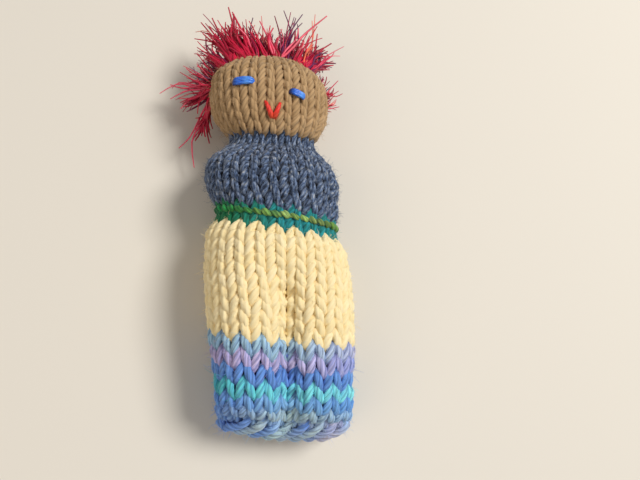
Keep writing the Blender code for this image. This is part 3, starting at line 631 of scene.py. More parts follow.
boots = {
    "piece": "bootKnit", "nodes": ["boot_cover"], "slot": "boot_wool", "courses": 8, "seed": 3,
    "knit": dict(stocking, loopHeight=1.02, loopDepth=0.80, lean=0.16, pinch=0.30, uneven=0.12,
                 yarn=dict(wool, radius=1.27), lowest=0.4),
    # Self-striping yarn: its dye at the right side, the middle and the left side of the front, course by course
    "rowDyes": [
        ("#A2CCE8", "#B8DEF4", "#CCC8EE"), ("#CCBEEC", "#D2C8F0", "#9CB0F2"), ("#7AACF4", "#6C9EEC", "#7AB0F6"),
        ("#4ECCD2", "#86F2FF", "#92F6FF"), ("#6CA0F6", "#90C8F2", "#66A8F8"), ("#6C9EF2", "#CCECEE", "#9CCAFC"),
        ("#78A8F2", "#A8D2F6", "#C8C8F0"), ("#6A9AEC", "#92B4F2", "#BCE4EC"),
    ],
    "dyeStep": 0.25,
    "look": dict(woolLook, shade="#101C5A", furrow=0.46, hidden=1.0, streaks=0.30, roughness=0.82,
                 specular=0.22, sheen=0.16, marl="#3F6CC8", marlShare=0.34, marlScale=(0.45, 0.45, 0.6)),
}
bootWool = woolMaterial("self-striping acrylic and wool yarn", boots["look"])


def makeBoots():
    low, high = runAtPlace(doll["sole"]), runAtPlace(doll["bootTop"])
    pitch = (high - low) / boots["courses"]
    stops = [(row + step * boots["dyeStep"], dye)
             for row, dyes in enumerate(boots["rowDyes"]) for step, dye in enumerate(dyes)]

    def dyeAt(run, shares):
        # Across the front the yarn runs from the doll's right side to its left
        return mixStops((high - run) / pitch - 0.5 + (0.75 - shares % 1), stops)
    knitPiece(boots, low, high, dyeAt, bootWool, "torso")


trousers = {
    "piece": "trouserKnit", "nodes": ["trouser_cover"], "slot": "cream_wool", "courses": 10, "seed": 5,
    "knit": dict(stocking, loopHeight=1.05, loopDepth=0.71, lean=0.15, pinch=0.24, uneven=0.06, yarn=wool),
    "dye": ("#F7E9BF", "#F4E2B0", 0.4),
    "look": dict(woolLook, shade="#D8A03A", furrow=0.12, hidden=0.42, streaks=0.05, bump=0.5),
}
creamWool = woolMaterial("undyed cream wool", trousers["look"])


def makeTrousers():
    low, high = runAtPlace(doll["bootTop"]), runAtPlace(doll["trouserTop"])
    knitPiece(trousers, low, high, evenDye(*trousers["dye"]), creamWool, "torso")


belt = {
    "piece": "beltKnit", "nodes": ["belt_band"], "slot": "belt_wool", "courses": 2, "seed": 8,
    "knit": dict(stocking, loopHeight=1.16, loopDepth=0.60, lean=0.16, pinch=0.15, uneven=0.07,
                 yarn=dict(wool, radius=1.28), sink=0.85),
    # The purl ridge: short bumps, their depth and rise (mm), and the unevenness of line, girth and light
    "rope": {"radius": 0.88, "plies": 3, "plyDepth": 0.30, "twist": 6.5, "pointsRound": 15},
    "bumps": 40, "samples": 10, "bumpDepth": 0.50, "bumpRise": 0.24, "ropePlace": 11.35,
    "ropeWave": 0.20, "ropeGirth": 0.2, "ropeLight": 0.45,
    "dyes": [(0.0, "#1E7A50"), (0.22, "#28A0B4"), (0.34, "#259AA2"), (0.50, "#289AAA"), (0.60, "#249080"),
             (0.67, "#1E8658"), (0.78, "#23815A"), (1.0, "#1E7A50")],
    "ropeDyes": [(0.0, "#2E8B57"), (0.22, "#4E9A6E"), (0.26, "#6FA660"), (0.29, "#4E9A62"), (0.32, "#7BA650"),
                 (0.35, "#6C9A44"), (0.38, "#98BC5E"), (0.41, "#B4D07C"), (0.44, "#A8C870"), (0.47, "#8FB85C"),
                 (0.50, "#B0D078"), (0.53, "#6CA65A"), (0.56, "#8AB45A"), (0.60, "#4C9A46"), (0.65, "#2E8B45"),
                 (0.70, "#1E8A4A"), (0.76, "#1E7A50"), (1.0, "#2E8B57")],
    "look": dict(woolLook, shade="#08382E", furrow=0.45, hidden=0.7, streaks=0.26, fibreLength=2.2,
                 roughness=0.82, marl="#1C5A3C", marlShare=0.6, marlScale=(0.6, 0.6, 1.2)),
}


def makeBelt():
    material = woolMaterial("variegated green yarn", belt["look"])
    # The purl ridge: the loops' heads show as short bumps in a line round the waist
    bumps, samples = belt["bumps"], belt["samples"]
    shares = np.arange(bumps * samples) / (bumps * samples)
    phase = shares * math.tau * bumps
    chance = np.random.default_rng(belt["seed"])
    wave = wobble(chance, bumps, samples, belt["ropeWave"]) + belt["bumpRise"] * np.sin(phase)
    turns = turnsByLength(belt["ropePlace"], shares, 0.0)[0]
    inset = belt["bumpDepth"] * (1 - np.cos(phase)) / 2 + wobble(chance, bumps, samples, belt["ropeWave"])
    points = keepAbove(underSkin(belt["ropePlace"] + wave, turns, inset), belt["rope"]["radius"])
    thick = 1 + wobble(chance, bumps, samples, belt["ropeGirth"])
    dye = mixStops(shares, belt["ropeDyes"]) * (1 + wobble(chance, bumps, samples, belt["ropeLight"]))[:, None]
    # The sunken part of each bump gets a depth, which sets its painted shade
    ridge = yarnPath(points, dye, thick, (1 - np.cos(phase)) / 3, True)
    settle(spinYarn("beltRidge", [ridge], belt["rope"], material), [], belt["slot"], "torso", padding["knit"])
    low, high = runAtPlace(doll["trouserTop"]), runAtPlace(doll["beltTop"])
    knitPiece(belt, low, high, lambda run, shares: mixStops(shares % 1, belt["dyes"]), material, "torso")


jumper = {
    "piece": "jumperKnit", "nodes": ["jumper_cover"], "slot": "denim_wool", "courses": 7, "seed": 13,
    "gather": {"piece": "neckGather", "nodes": ["jumper_gathered_rows"], "courses": 1, "seed": 14},
    "knit": dict(stocking, loopHeight=1.14, loopDepth=0.88, lean=0.15, pinch=0.28, uneven=0.11,
                 yarn=dict(wool, radius=1.25)),
    "dye": ("#677A96", "#78869C", 2.2),
    "look": dict(woolLook, shade="#0A0F1C", furrow=0.72, hidden=1.0, deepRange=(0.0, 0.38), streaks=0.16,
                 fibreLength=1.0, fibresRound=1.8, roughness=0.86, specular=0.18, sheen=0.2,
                 flecks=[(0.33, "#0A101A"), (0.42, "#31456A"), (0.51, "#657BA1"), (0.60, "#8A9AB8"),
                         (0.71, "#C8CCCE")], fleckShare=0.86, fleckScale=0.72),
}
denimWool = woolMaterial("denim heather wool", jumper["look"])


def makeJumper():
    low, high = runAtPlace(doll["beltTop"]), runAtPlace(doll["firstTan"])
    neck = dict(jumper, **jumper["gather"])
    waist = high - (high - low) / (jumper["courses"] + neck["courses"]) * neck["courses"]
    dyeAt = evenDye(*jumper["dye"])
    knitPiece(neck, waist, high, dyeAt, denimWool, coreToTie)
    knitPiece(jumper, low, waist, dyeAt, denimWool, torsoToCore)


head = {
    "piece": "headKnit", "nodes": ["head_cover", "chin_gathered_rows"], "slot": "tan_wool",
    "courses": 10, "seed": 21,
    "knit": dict(stocking, loopHeight=1.10, loopDepth=0.74, lean=0.13, pinch=0.20, uneven=0.06,
                 yarn=dict(wool, radius=1.17)),
    "dye": ("#C2A27A", "#B4946C", 1.1),
    "look": dict(woolLook, shade="#4A3420", furrow=0.38, hidden=0.9, streaks=0.14, roughness=0.86,
                 specular=0.18, bump=0.6),
}
tanWool = woolMaterial("tan wool", head["look"])


def makeHead():
    low, high = runAtPlace(doll["firstTan"]), runAtPlace(doll["faceTop"])
    knitPiece(head, low, high, evenDye(*head["dye"]), tanWool, tieToHead)


makeBoots()
makeTrousers()
makeBelt()
makeJumper()
makeHead()
print("knitted courses laid")

lining = {
    # Painted shade: a dark sheet under the knit stands for the wool's own back loops in shade, seen as dark
    # felt between the legs of the stitches
    "inset": 2.3, "step": 1.6, "around": 72, "rest": 0.6,
    # Below the tie it lies deeper, which leaves room for the chin rows to sink in when the head tilts
    "deeper": [(27.0, 0.0), (31.0, 1.9), (36.0, 1.9), (38.6, 0.0)],
    # Painted shade: each zone is a dark version of the wool that lies over it
    "colours": [(-52.5, "#232E66"), (-25.0, "#2A356E"), (-23.6, "#8A6424"), (7.4, "#8A6424"), (8.6, "#0C4036"),
                (12.2, "#0C3A3A"), (13.4, "#131B2C"), (37.6, "#131B2C"), (38.4, "#4A3620"), (64.0, "#4A3620"),
                (66.0, "#5A0C22"), (68.5, "#5A0C22")],
    "look": dict(woolLook, shade="#101010", furrow=0.0, hidden=0.0, streaks=0.25, fibreLength=1.0,
                 fibresRound=60.0, roughness=0.95, specular=0.1, sheen=0.1),
    # From and to (mm), the solids that it stands for, and what holds it
    "pieces": {
        "bodyStuffing": (-52.2, 34.8, ["body_filling", "left_leg_filling", "right_leg_filling"], torsoToCore),
        "neckStuffing": (34.4, 40.4, ["neck_filling"], coreToTie),
        "headStuffing": (40.0, 68.3, ["head_filling"], tieToHead),
    },
}


def makeLining(name, low, high, nodes, hold, material):
    start, end = runAtPlace(low), runAtPlace(high)
    turns = np.linspace(0, math.tau, lining["around"], endpoint=False)
    mesh = bmesh.new()
    rings, places = [], []
    for run in np.linspace(start, end, max(3, int((end - start) / lining["step"]))):
        place = float(placeAtRun(run))
        inset = lining["inset"] + np.interp(place, *zip(*lining["deeper"]))
        points = keepAbove(underSkin(place, turns, inset), lining["rest"])
        rings.append([mesh.verts.new(tuple(p * mm)) for p in points])
        places += [place] * len(turns)
    for row, following in zip(rings, rings[1:]):
        for i, vert in enumerate(row):
            beside = (i + 1) % len(row)
            mesh.faces.new((vert, row[beside], following[beside], following[i]))
    for row, place in ((rings[0], low), (rings[-1], high)):
        middle = mesh.verts.new(sum((v.co for v in row), Vector()) / len(row))
        places.append(place)
        for i, vert in enumerate(row):
            mesh.faces.new((vert, row[(i + 1) % len(row)], middle))
    bmesh.ops.recalc_face_normals(mesh, faces=mesh.faces)
    data = bpy.data.meshes.new(name)
    mesh.to_mesh(data)
    mesh.free()
    writeValues(data, "dye", "FLOAT_COLOR", mixStops(np.array(places), lining["colours"]))
    data.shade_smooth()
    data.materials.append(material)
    settle(addObject(name, data), nodes, "stuffing", hold, padding["stuffing"])


liningWool = woolMaterial("felted back of the knit", lining["look"])
for name, values in lining["pieces"].items():
    makeLining(name, *values, liningWool)
print("stuffing and lining made")


def smoothPath(points, count):
    # A rounded line through a few points, evenly walked
    points = np.asarray(points, float)
    padded = np.vstack([2 * points[0] - points[1], points, 2 * points[-1] - points[-2]])
    t = np.linspace(0, len(points) - 1, count)
    i = np.minimum(t.astype(int), len(points) - 2)
    f = (t - i)[:, None]
    a, b, c, d = (padded[i + k] for k in range(4))
    return 0.5 * (2 * b + (c - a) * f + (2 * a - 5 * b + 4 * c - d) * f**2 + (3 * b - a - 3 * c + d) * f**3)


# Steps in which a point of the skin is found from where it lies in the picture's plane
searchSteps = 8


def frontPoints(x, y, lift):
    # Points of the front that lie at x and y, raised off the skin
    x, y, lift = np.broadcast_arrays(*(np.asarray(v, float) for v in (x, y, lift)))
    place = y.copy()
    for step in range(searchSteps):
        lean = doll["headLean"] * np.maximum(place - doll["neck"], 0.0)
        share = np.minimum(np.abs(x - lean) / sectionAt(place)[0], 1.0) ** (doll["sectionPower"] / 2)
        turn = np.arccos(np.sign(x - lean) * share)
        place = place + y - skinAt(place, turn)[..., 1]
    return underSkin(place, turn, -lift)


eyes = {
    # Centre x, height above the neck, length, drop towards the outer end and breadth of the satin stitch (mm)
    "leftEye": (7.1, 8.5, 5.0, 1.6, 2.15), "rightEye": (-9.0, 12.5, 6.8, -0.6, 2.6),
    # How far the strands stand off, bow and sink at their holes, in mm, and how they draw together and taper
    "strands": 3, "lift": 0.30, "bow": 0.22, "bury": 1.6, "shorter": 0.06, "draw": 0.5, "taper": 0.2,
    "floss": {"radius": 0.56, "plies": 3, "plyDepth": 0.10, "twist": 7.0, "pointsRound": 12},
    # Colour along each strand: painted shade at the first end, painted highlight past the middle, over the blue
    # of the floss
    "tones": [(-0.86, "#182E78"), (-0.4, "#3478F0"), (0, "#3478F0"), (0.4, "#5CA2FF"), (1, "#3478F0")],
    "look": dict(woolLook, shade="#0D1D66", furrow=0.30, hidden=0.6, streaks=0.20, fibreLength=3.5,
                 fibresRound=7.0, roughness=0.26, specular=0.5, sheen=0.0, bump=0.3),
}


def makeEye(name, node, material, hold):
    # The strands span straight from hole to hole and bow a little over the knitting
    x, rise, length, drop, breadth = eyes[name]
    y, side = doll["neck"] + rise, math.copysign(1, x)
    share = np.linspace(-1, 1, 25)
    ends = frontPoints([x - length / 2, x + length / 2], y + np.array([side, -side]) * drop / 2, eyes["lift"])
    middle = frontPoints([x], [y], eyes["lift"])[0]
    along = (ends[1] - ends[0]) / np.linalg.norm(ends[1] - ends[0])
    outward = middle - frontPoints([x], [y], 0.0)[0]
    outward /= np.linalg.norm(outward)
    beside = np.cross(outward, along)
    # How far the face stands out between the two holes, so that the strands lie on it all along
    crown = max(0.0, float(np.dot(middle - ends.mean(axis=0), outward)))
    gaps = eyes["strands"] - 1
    paths = []
    for strand in range(eyes["strands"]):
        across = (strand - gaps / 2) * (breadth - 2 * eyes["floss"]["radius"]) / gaps
        reach = length / 2 * (1 - eyes["shorter"] * abs(across)) * share
        # The strands of a satin stitch share two holes, so they draw together at the ends
        drawn = across * (1 - eyes["draw"] * share ** 4)
        rise = eyes["bow"] * (1 - share ** 2) * (1.4 - abs(across)) - crown * share ** 2
        rise = rise - eyes["bury"] * np.abs(share) ** 10
        points = middle + np.outer(reach, along) + np.outer(drawn, beside) + np.outer(rise, outward)
        paths.append(yarnPath(points, mixStops(share, eyes["tones"]), 1.0 - eyes["taper"] * share ** 6))
    settle(spinYarn(name, paths, eyes["floss"], material), [node], "eye_thread", hold)


mouth = {
    # Two straight stitches: side of each and how high it reaches, their spread at the bottom, in mm
    "stitches": ((-1, 1.0), (1, 0.9)), "side": -0.5, "width": 4.8, "top": 6.2, "bottom": 1.0, "lift": 0.30,
    "apart": 0.28, "topBury": 2.0, "bottomBury": 1.6, "girth": 1.1, "taper": 0.62,
    "floss": {"radius": 0.82, "plies": 3, "plyDepth": 0.16, "twist": 5.0, "pointsRound": 12},
    # Painted highlight: each stitch is lighter and more orange at its bottom than the red of the floss
    "dyes": [(0, "#F2663C"), (0.35, "#F23A30"), (1, "#F23A30")],
    "look": dict(woolLook, shade="#8E140E", furrow=0.35, hidden=0.6, streaks=0.20, fibresRound=6.0,
                 roughness=0.45, specular=0.4, sheen=0.05, bump=0.4),
}


def makeMouth(material):
    paths = []
    share = np.linspace(0, 1, 22)
    for side, top in mouth["stitches"]:
        x = mouth["side"] + side * share * mouth["width"] / 2 + side * mouth["apart"] * (1 - share)
        y = doll["neck"] + mouth["bottom"] + share * (mouth["top"] - mouth["bottom"]) * top
        lift = mouth["lift"] - mouth["topBury"] * share ** 9 - mouth["bottomBury"] * (1 - share) ** 8
        girth = mouth["girth"] - mouth["taper"] * share ** 1.5
        paths.append(yarnPath(frontPoints(x, y, lift), mixStops(share, mouth["dyes"]), girth))
    piece = spinYarn("mouthStitches", paths, mouth["floss"], material)
    settle(piece, ["mouth_stitches"], "mouth_thread", tieToHead)


eyeFloss = woolMaterial("rayon embroidery floss, blue", eyes["look"])
makeEye("leftEye", "left_eye_stitches", eyeFloss, tieToHead)
makeEye("rightEye", "right_eye_stitches", eyeFloss, "head")
makeMouth(woolMaterial("mercerised red cotton", mouth["look"]))
print("face stitched")

sewing = {
    "yarn": {"radius": 0.60, "plies": 3, "plyDepth": 0.2, "twist": 4.5, "pointsRound": 10},
    "seamYarn": {"radius": 0.52, "plies": 3, "plyDepth": 0.2, "twist": 4.0, "pointsRound": 10},
    # The running thread lies this far under the skin (mm), and goes so far along it between two turns
    "passInset": 2.15, "passShares": (0.0, 0.15, 0.5, 0.85, 1.0),
    "legDyes": [(-40, "#4A66B8"), (-29, "#5A78C8"), (-27.5, "#F2DDA4"), (0, "#F2DDA4")],
    # Mattress stitches of the back seams: ends left free, spacing, sway, its length, depth and gap to the table
    "seam": {"margin": 3.0, "spacing": 0.35, "sway": 0.75, "wave": 3.4, "depth": 0.55, "rest": 0.55},
    "tie": {"samples": 240, "inset": 1.35, "pathInset": 1.5, "knotSamples": 70, "knotLift": 0.5},
    "crown": {"samples": 60, "below": 0.6, "inset": -0.5},
}


def passPoint(y, front):
    # Where the running thread turns on the front or the back of the doll
    place, turn = float(y), [math.pi / 2 if front else doll["back"]]
    for step in range(searchSteps):
        place += y - float(skinAt(place, turn)[0, 1])
    return skinAt(place, turn)[0] + np.array([0, 0, -sewing["passInset"] if front else sewing["passInset"]])


def makeLegStitching():
    stitch = doll["legStitch"]
    places = [stitch["first"] - i * stitch["pitch"] for i in range(stitch["passes"])]
    points, front = [(passPoint(places[0], True) + passPoint(places[0], False)) / 2], True
    for y, following in zip(places, places[1:]):
        points += [passPoint(y + (following - y) * share, front) for share in sewing["passShares"]]
        front = not front
    points.append((passPoint(places[-1], True) + passPoint(places[-1], False)) / 2)
    path = smoothPath(points, 260)
    thread = yarnPath(path, mixStops(path[:, 1], sewing["legDyes"]), 1.0, 0.1)
    piece = spinYarn("legStitching", [thread], sewing["yarn"], creamWool)
    settle(piece, ["leg_division_stitching"], "cream_wool", "torso")


def makeBackSeam(name, node, channel, dye, material, slot, hold):
    # Mattress stitches wave from edge to edge of their channel down the centre back
    seam = sewing["seam"]
    start, end = channel[0] + seam["margin"], channel[1] - seam["margin"]
    places = np.linspace(start, end, int((end - start) / seam["spacing"]))
    points = skinAt(places, doll["back"])
    points[:, 0] += seam["sway"] * np.sin((places - start) / seam["wave"] * math.tau)
    points[:, 2] -= seam["depth"]
    path = yarnPath(keepAbove(points, seam["rest"]), toLinear(dye), 1.0, 0.1)
    settle(spinYarn(name, [path], sewing["seamYarn"], material), [node], slot, hold)


def makeNeckTie():
    tie = sewing["tie"]
    turns = turnsByLength(doll["neck"], np.arange(tie["samples"]) / tie["samples"], tie["pathInset"])[0]
    ring = underSkin(doll["neck"], turns, tie["inset"])
    nape = skinAt(doll["neck"], [doll["back"]])[0] + np.array([0, 0, tie["knotLift"]])
    # An overhand knot: the two ends cross and tuck round each other
    t = np.linspace(0, math.tau, tie["knotSamples"], endpoint=False)
    knot = nape + np.stack([1.5 * np.sin(t) + 0.35 * np.sin(3 * t), 0.55 * np.cos(t) - 0.4 * np.cos(2 * t),
                            0.45 * np.sin(3 * t)], axis=-1)
    # Painted shade: the ring in the drawn-in neck is coloured darker than the knot of the same cord
    shadedRingColour, knotColour = toLinear("#4A5C7C"), toLinear("#5E7390")
    paths = [yarnPath(ring, shadedRingColour, 1.2, 0.3, True), yarnPath(knot, knotColour, 1.0, 0.1, True)]
    piece = spinYarn("neckTie", paths, sewing["yarn"], denimWool)
    settle(piece, ["neck_drawstring"], "denim_wool", "neck_tie")


def makeCrownThread():
    crown = sewing["crown"]
    turns = np.linspace(0, math.tau, crown["samples"], endpoint=False)
    ring = underSkin(doll["crown"] - crown["below"], turns, crown["inset"])
    thread = yarnPath(ring, toLinear("#8E1230"), 1.0, 0.1, True)
    piece = spinYarn("crownThread", [thread], sewing["seamYarn"], tanWool)
    settle(piece, ["crown_gathering_thread"], "tan_wool", "head")


sole = {
    # Overcast seam: each stitch comes up from behind, slants along the edge and goes back in on the front
    "yarn": {"radius": 1.12, "plies": 4, "plyDepth": 0.22, "twist": 11.0, "pointsRound": 16},
    "stitches": 8, "pitch": 4.1, "first": -18.3, "steepest": 0.985, "rest": 1.2,
    # Step across from the stitch's start, height above the edge, depth under the skin (mm), on the front or not
    "stitch": [(-1.2, 2.2, -0.3, False), (0.2, 0.0, -0.4, True), (2.4, 1.5, -0.75, True),
               (5.0, 3.0, -0.65, True), (6.6, 4.0, 0.4, True), (7.0, 4.2, 2.6, True)],
    "seed": 4, "knots": 48, "samples": 10, "uneven": 0.12,
    "dyes": [(0.0, "#88B4FC"), (0.10, "#84B2FC"), (0.20, "#D6F2F6"), (0.30, "#8AB8FF"), (0.42, "#CCEEF4"),
             (0.52, "#DCF4F8"), (0.60, "#7AA8FA"), (0.70, "#D4F0F6"), (0.80, "#B0CAFE"), (0.88, "#E4E2FC"),
             (0.94, "#E8E8FC"), (1.0, "#B0DAFE")],
}


def turnAcross(place, x, front):
    # The turn at which the skin of this row lies at x
    share = min(abs(x) / float(sectionAt(np.array([place]))[0][0]), sole["steepest"])
    turn = math.acos(math.copysign(share ** (doll["sectionPower"] / 2), x))
    return turn if front else -turn


def makeSole():
    points = []
    for i in range(sole["stitches"]):
        start = sole["first"] + i * sole["pitch"]
        for across, height, inset, front in sole["stitch"]:
            place = doll["sole"] + height
            turn = turnAcross(place, start + across, front)
            point = underSkin(place, np.array([turn]), inset)[0]
            if height == 0:
                point = skinAt(place, [turn, -turn]).mean(axis=0) + np.array([0, inset, 0])
            points.append(point)
    path = keepAbove(smoothPath(points, sole["knots"] * sole["samples"]), sole["rest"])
    girth = 1 + wobble(np.random.default_rng(sole["seed"]), sole["knots"], sole["samples"], sole["uneven"])
    thread = yarnPath(path, mixStops(np.linspace(0, 1, len(path)), sole["dyes"]), girth, 0.05)
    piece = spinYarn("soleSeam", [thread], sole["yarn"], bootWool)
    settle(piece, ["sole_seam_yarn"], "boot_wool", "torso", padding["knit"])


makeLegStitching()
seams = doll["seamGroove"]
makeBackSeam("jumperBackSeam", "jumper_back_seam", seams["jumper"], "#5E7390", denimWool, "denim_wool",
             torsoToCore)
makeBackSeam("headBackSeam", "head_back_seam", seams["head"], "#B2946A", tanWool, "tan_wool", tieToHead)
makeNeckTie()
makeCrownThread()
makeSole()
print("sewing done")


def strandTree():
    # Sweeps a tapered strand from every point of the incoming mesh, which says how it grows
    tree, given = newTree("tapered strands", {
        "Geometry": ("Geometry", None), "Tip share": ("Float", 0.3), "Points along": ("Int", 7),
        "Sides": ("Int", 3), "Fibre": ("Material", None),
    })
    way = readValue(tree, "way", "FLOAT_VECTOR")
    turned = result(tree, "FunctionNodeAlignRotationToVector", {"Vector": way}, axis="Z")
    long = addNode(tree, "ShaderNodeVectorMath", {0: way}, operation="LENGTH").outputs["Value"]
    line = result(tree, "GeometryNodeCurvePrimitiveLine", {"Start": (0, 0, 0), "End": (0, 0, 1)})
    line = result(tree, "GeometryNodeResampleCurve", {"Curve": line, "Count": given["Points along"]})
    roots = result(tree, "GeometryNodeMeshToPoints", {"Mesh": given["Geometry"]})
    links = {"Points": roots, "Instance": line, "Rotation": turned, "Scale": long}
    grown = result(tree, "GeometryNodeInstanceOnPoints", links)
    loose = result(tree, "GeometryNodeRealizeInstances", {"Geometry": grown})
    factor = addNode(tree, "GeometryNodeSplineParameter").outputs["Factor"]
    # It bends more and more to one side, with a slight ripple on the way
    ripple = calc(tree, "SINE", calc(tree, "MULTIPLY", factor, 2.2 * math.pi))
    curl = calc(tree, "ADD", calc(tree, "POWER", factor, 2.0), calc(tree, "MULTIPLY", ripple, 0.32))
    moved = scaled(tree, readValue(tree, "sway", "FLOAT_VECTOR"), curl)
    loose = result(tree, "GeometryNodeSetPosition", {"Geometry": loose, "Offset": moved})
    taper = remap(tree, factor, 0.35, 1.0, 1.0, given["Tip share"])
    thick = calc(tree, "MULTIPLY", taper, readValue(tree, "girth"))
    ring = result(tree, "GeometryNodeCurvePrimitiveCircle", {"Resolution": given["Sides"], "Radius": 1.0})
    return sweepRing(tree, loose, ring, thick, given["Fibre"])


taperedStrands = strandTree()


def growStrands(name, roots, ways, girths, sways, tint, shape, material):
    # Every root is a point with the way its strand goes, its radius, its bend (mm) and its tone or dye
    mesh = bpy.data.meshes.new(name)
    mesh.from_pydata([tuple(root * mm) for root in roots], [], [])
    writeValues(mesh, "way", "FLOAT_VECTOR", ways * mm)
    writeValues(mesh, "sway", "FLOAT_VECTOR", sways * mm)
    writeValues(mesh, "girth", "FLOAT", girths * mm)
    writeValues(mesh, *tint)
    return runTree(addObject(name, mesh), taperedStrands, {
        "Tip share": shape["tipShare"], "Points along": shape["pointsAlong"], "Sides": shape["sides"],
        "Fibre": material,
    })


def lashMaterial(name, look):
    # Nylon eyelash yarn: thin glossy fibres, each dyed its own red, pink or purple
    material, tree, inputs = newMaterial(name, {"Roughness": look["roughness"], "Specular IOR Level": 0.5})
    tone = addNode(tree, "ShaderNodeAttribute", attribute_name="tone").outputs["Fac"]
    cloudDye(tree, inputs, dyeRamp(tree, tone, look["tones"]), 260.0, 2.0, 0.75)
    return material


def cloudDye(tree, inputs, dye, scale, detail, darkest):
    # Light and dark come in soft patches, because neighbouring fibres took the dye alike
    where = addNode(tree, "ShaderNodeTexCoord").outputs["Object"]
    light = remap(tree, noise(tree, where, scale, Detail=detail), 0.3, 0.7, darkest, 1.2)
    tree.links.new(scaled(tree, dye, light), inputs["Base Color"])


hair = {
    # Fans stand all over a patch of the scalp: share of the head's length, turns (degrees), lengths (mm), lean,
    # spread. Locks: root (place in mm, turn in degrees), tip (mm), scatter of roots and tips.
    # Both end with the number of strands, their radii (mm) and their tones
    "hairCrownFront": {
        "node": "hair_crown_front",
        "fans": [((0.90, 0.99), (4, 176), (4, 11), (0.0, 0.5, -0.1), 0.40, 150, (0.16, 0.30), (0.0, 1.0))],
        "locks": [
            ((62.6, 138), (-18.5, 77.0, 17.0), (2.6, 3.4), 46, (0.20, 0.38), (0.0, 0.55)),
            ((63.8, 124), (-13.5, 77.5, 19.0), (2.6, 3.2), 58, (0.20, 0.40), (0.0, 0.60)),
            ((63.6, 130), (-12.0, 73.0, 18.5), (5.0, 5.0), 60, (0.20, 0.36), (0.0, 0.58)),
            ((63.8, 116), (-9.0, 74.0, 18.0), (4.0, 4.0), 40, (0.20, 0.36), (0.0, 0.60)),
            ((62.6, 54), (13.0, 69.5, 17.0), (4.5, 4.0), 36, (0.18, 0.32), (0.1, 0.78)),
            ((64.6, 112), (-8.0, 78.5, 20.5), (2.4, 2.6), 34, (0.18, 0.36), (0.1, 0.62)),
            ((61.0, 152), (-21.0, 70.5, 15.0), (2.4, 2.8), 34, (0.18, 0.34), (0.0, 0.70)),
            ((65.2, 100), (-4.0, 75.0, 21.0), (2.2, 2.0), 22, (0.18, 0.32), (0.05, 0.55)),
            ((65.4, 86), (2.0, 73.5, 20.5), (2.0, 2.2), 18, (0.18, 0.32), (0.1, 0.60)),
            ((65.0, 108), (-7.0, 83.0, 20.0), (0.7, 0.9), 5, (0.20, 0.26), (0.66, 0.74)),
            ((64.9, 110), (-8.0, 74.0, 24.5), (0.3, 0.3), 2, (0.34, 0.38), (0.86, 0.96)),
            ((65.5, 84), (-0.6, 74.2, 24.5), (0.3, 0.4), 2, (0.32, 0.36), (0.84, 0.92)),
            ((65.0, 74), (11.5, 83.0, 18.5), (0.8, 1.2), 7, (0.22, 0.30), (0.66, 0.74)),
            ((65.0, 72), (8.0, 81.0, 19.5), (0.8, 1.4), 5, (0.20, 0.26), (0.62, 0.84)),
            ((64.9, 77), (16.0, 76.2, 25.5), (0.1, 0.1), 1, (0.34, 0.34), (0.93, 0.93)),
            ((64.9, 76), (12.5, 74.0, 24.5), (0.3, 0.6), 2, (0.26, 0.30), (0.86, 0.94)),
            ((62.6, 50), (18.5, 72.0, 17.0), (2.4, 2.8), 40, (0.18, 0.34), (0.0, 0.76)),
            ((61.2, 40), (21.5, 68.5, 15.5), (2.2, 2.4), 44, (0.20, 0.36), (0.0, 0.80)),
            ((63.6, 60), (14.5, 76.0, 17.5), (2.0, 2.6), 12, (0.18, 0.28), (0.1, 1.0)),
            ((62.6, 48), (19.5, 82.0, 16.0), (0.8, 1.8), 3, (0.18, 0.24), (0.90, 1.0)),
            ((61.4, 38), (27.5, 74.0, 16.0), (0.8, 2.0), 4, (0.18, 0.24), (0.82, 1.0)),
            ((62.4, 139), (-19.5, 84.0, 15.0), (1.2, 3.2), 5, (0.16, 0.22), (0.80, 1.0)),
        ],
    },
    "hairCrownBack": {
        "node": "hair_crown_back", "locks": [],
        "fans": [((0.80, 0.985), (184, 356), (6, 15), (0.0, 0.6, 0.1), 0.45, 380, (0.14, 0.28), (0.0, 1.0))],
    },
    "hairLeftSide": {
        "node": "hair_left_side",
        "fans": [((0.50, 0.82), (330, 362), (3, 8), (0.15, 0.5, 0.1), 0.40, 70, (0.12, 0.24), (0.0, 0.9))],
        "locks": [((56.9, 6), (23.5, 57.0, 12.0), (2.4, 2.8), 16, (0.16, 0.28), (0.0, 0.7)),
                  ((53.0, 2), (30.0, 58.5, 9.0), (1.0, 1.6), 3, (0.18, 0.22), (0.86, 1.0))],
    },
    "hairRightSide": {
        "node": "hair_right_side",
        "fans": [((0.50, 0.80), (172, 214), (4, 10), (-0.3, 0.25, 0.1), 0.40, 110, (0.14, 0.28), (0.0, 0.9))],
        "locks": [((54.2, 180), (-27.0, 53.0, 9.5), (3.4, 3.4), 40, (0.18, 0.34), (0.0, 0.75)),
                  ((55.1, 176), (-31.0, 57.0, 12.0), (0.4, 1.0), 2, (0.24, 0.28), (0.84, 0.90)),
                  ((55.6, 177), (-33.5, 61.0, 10.0), (0.6, 1.2), 2, (0.20, 0.24), (0.82, 0.90))],
    },
    "hairRightLock": {
        "node": "hair_right_lock", "fans": [],
        "locks": [((52.0, 184), (-21.6, 41.6, 8.5), (1.8, 1.0), 36, (0.26, 0.42), (0.0, 0.45)),
                  ((51.5, 186), (-24.0, 39.8, 7.5), (1.2, 1.0), 7, (0.24, 0.34), (0.1, 0.60)),
                  ((51.6, 186), (-28.4, 36.0, 7.0), (0.4, 0.5), 2, (0.26, 0.30), (0.82, 0.88))],
    },
}
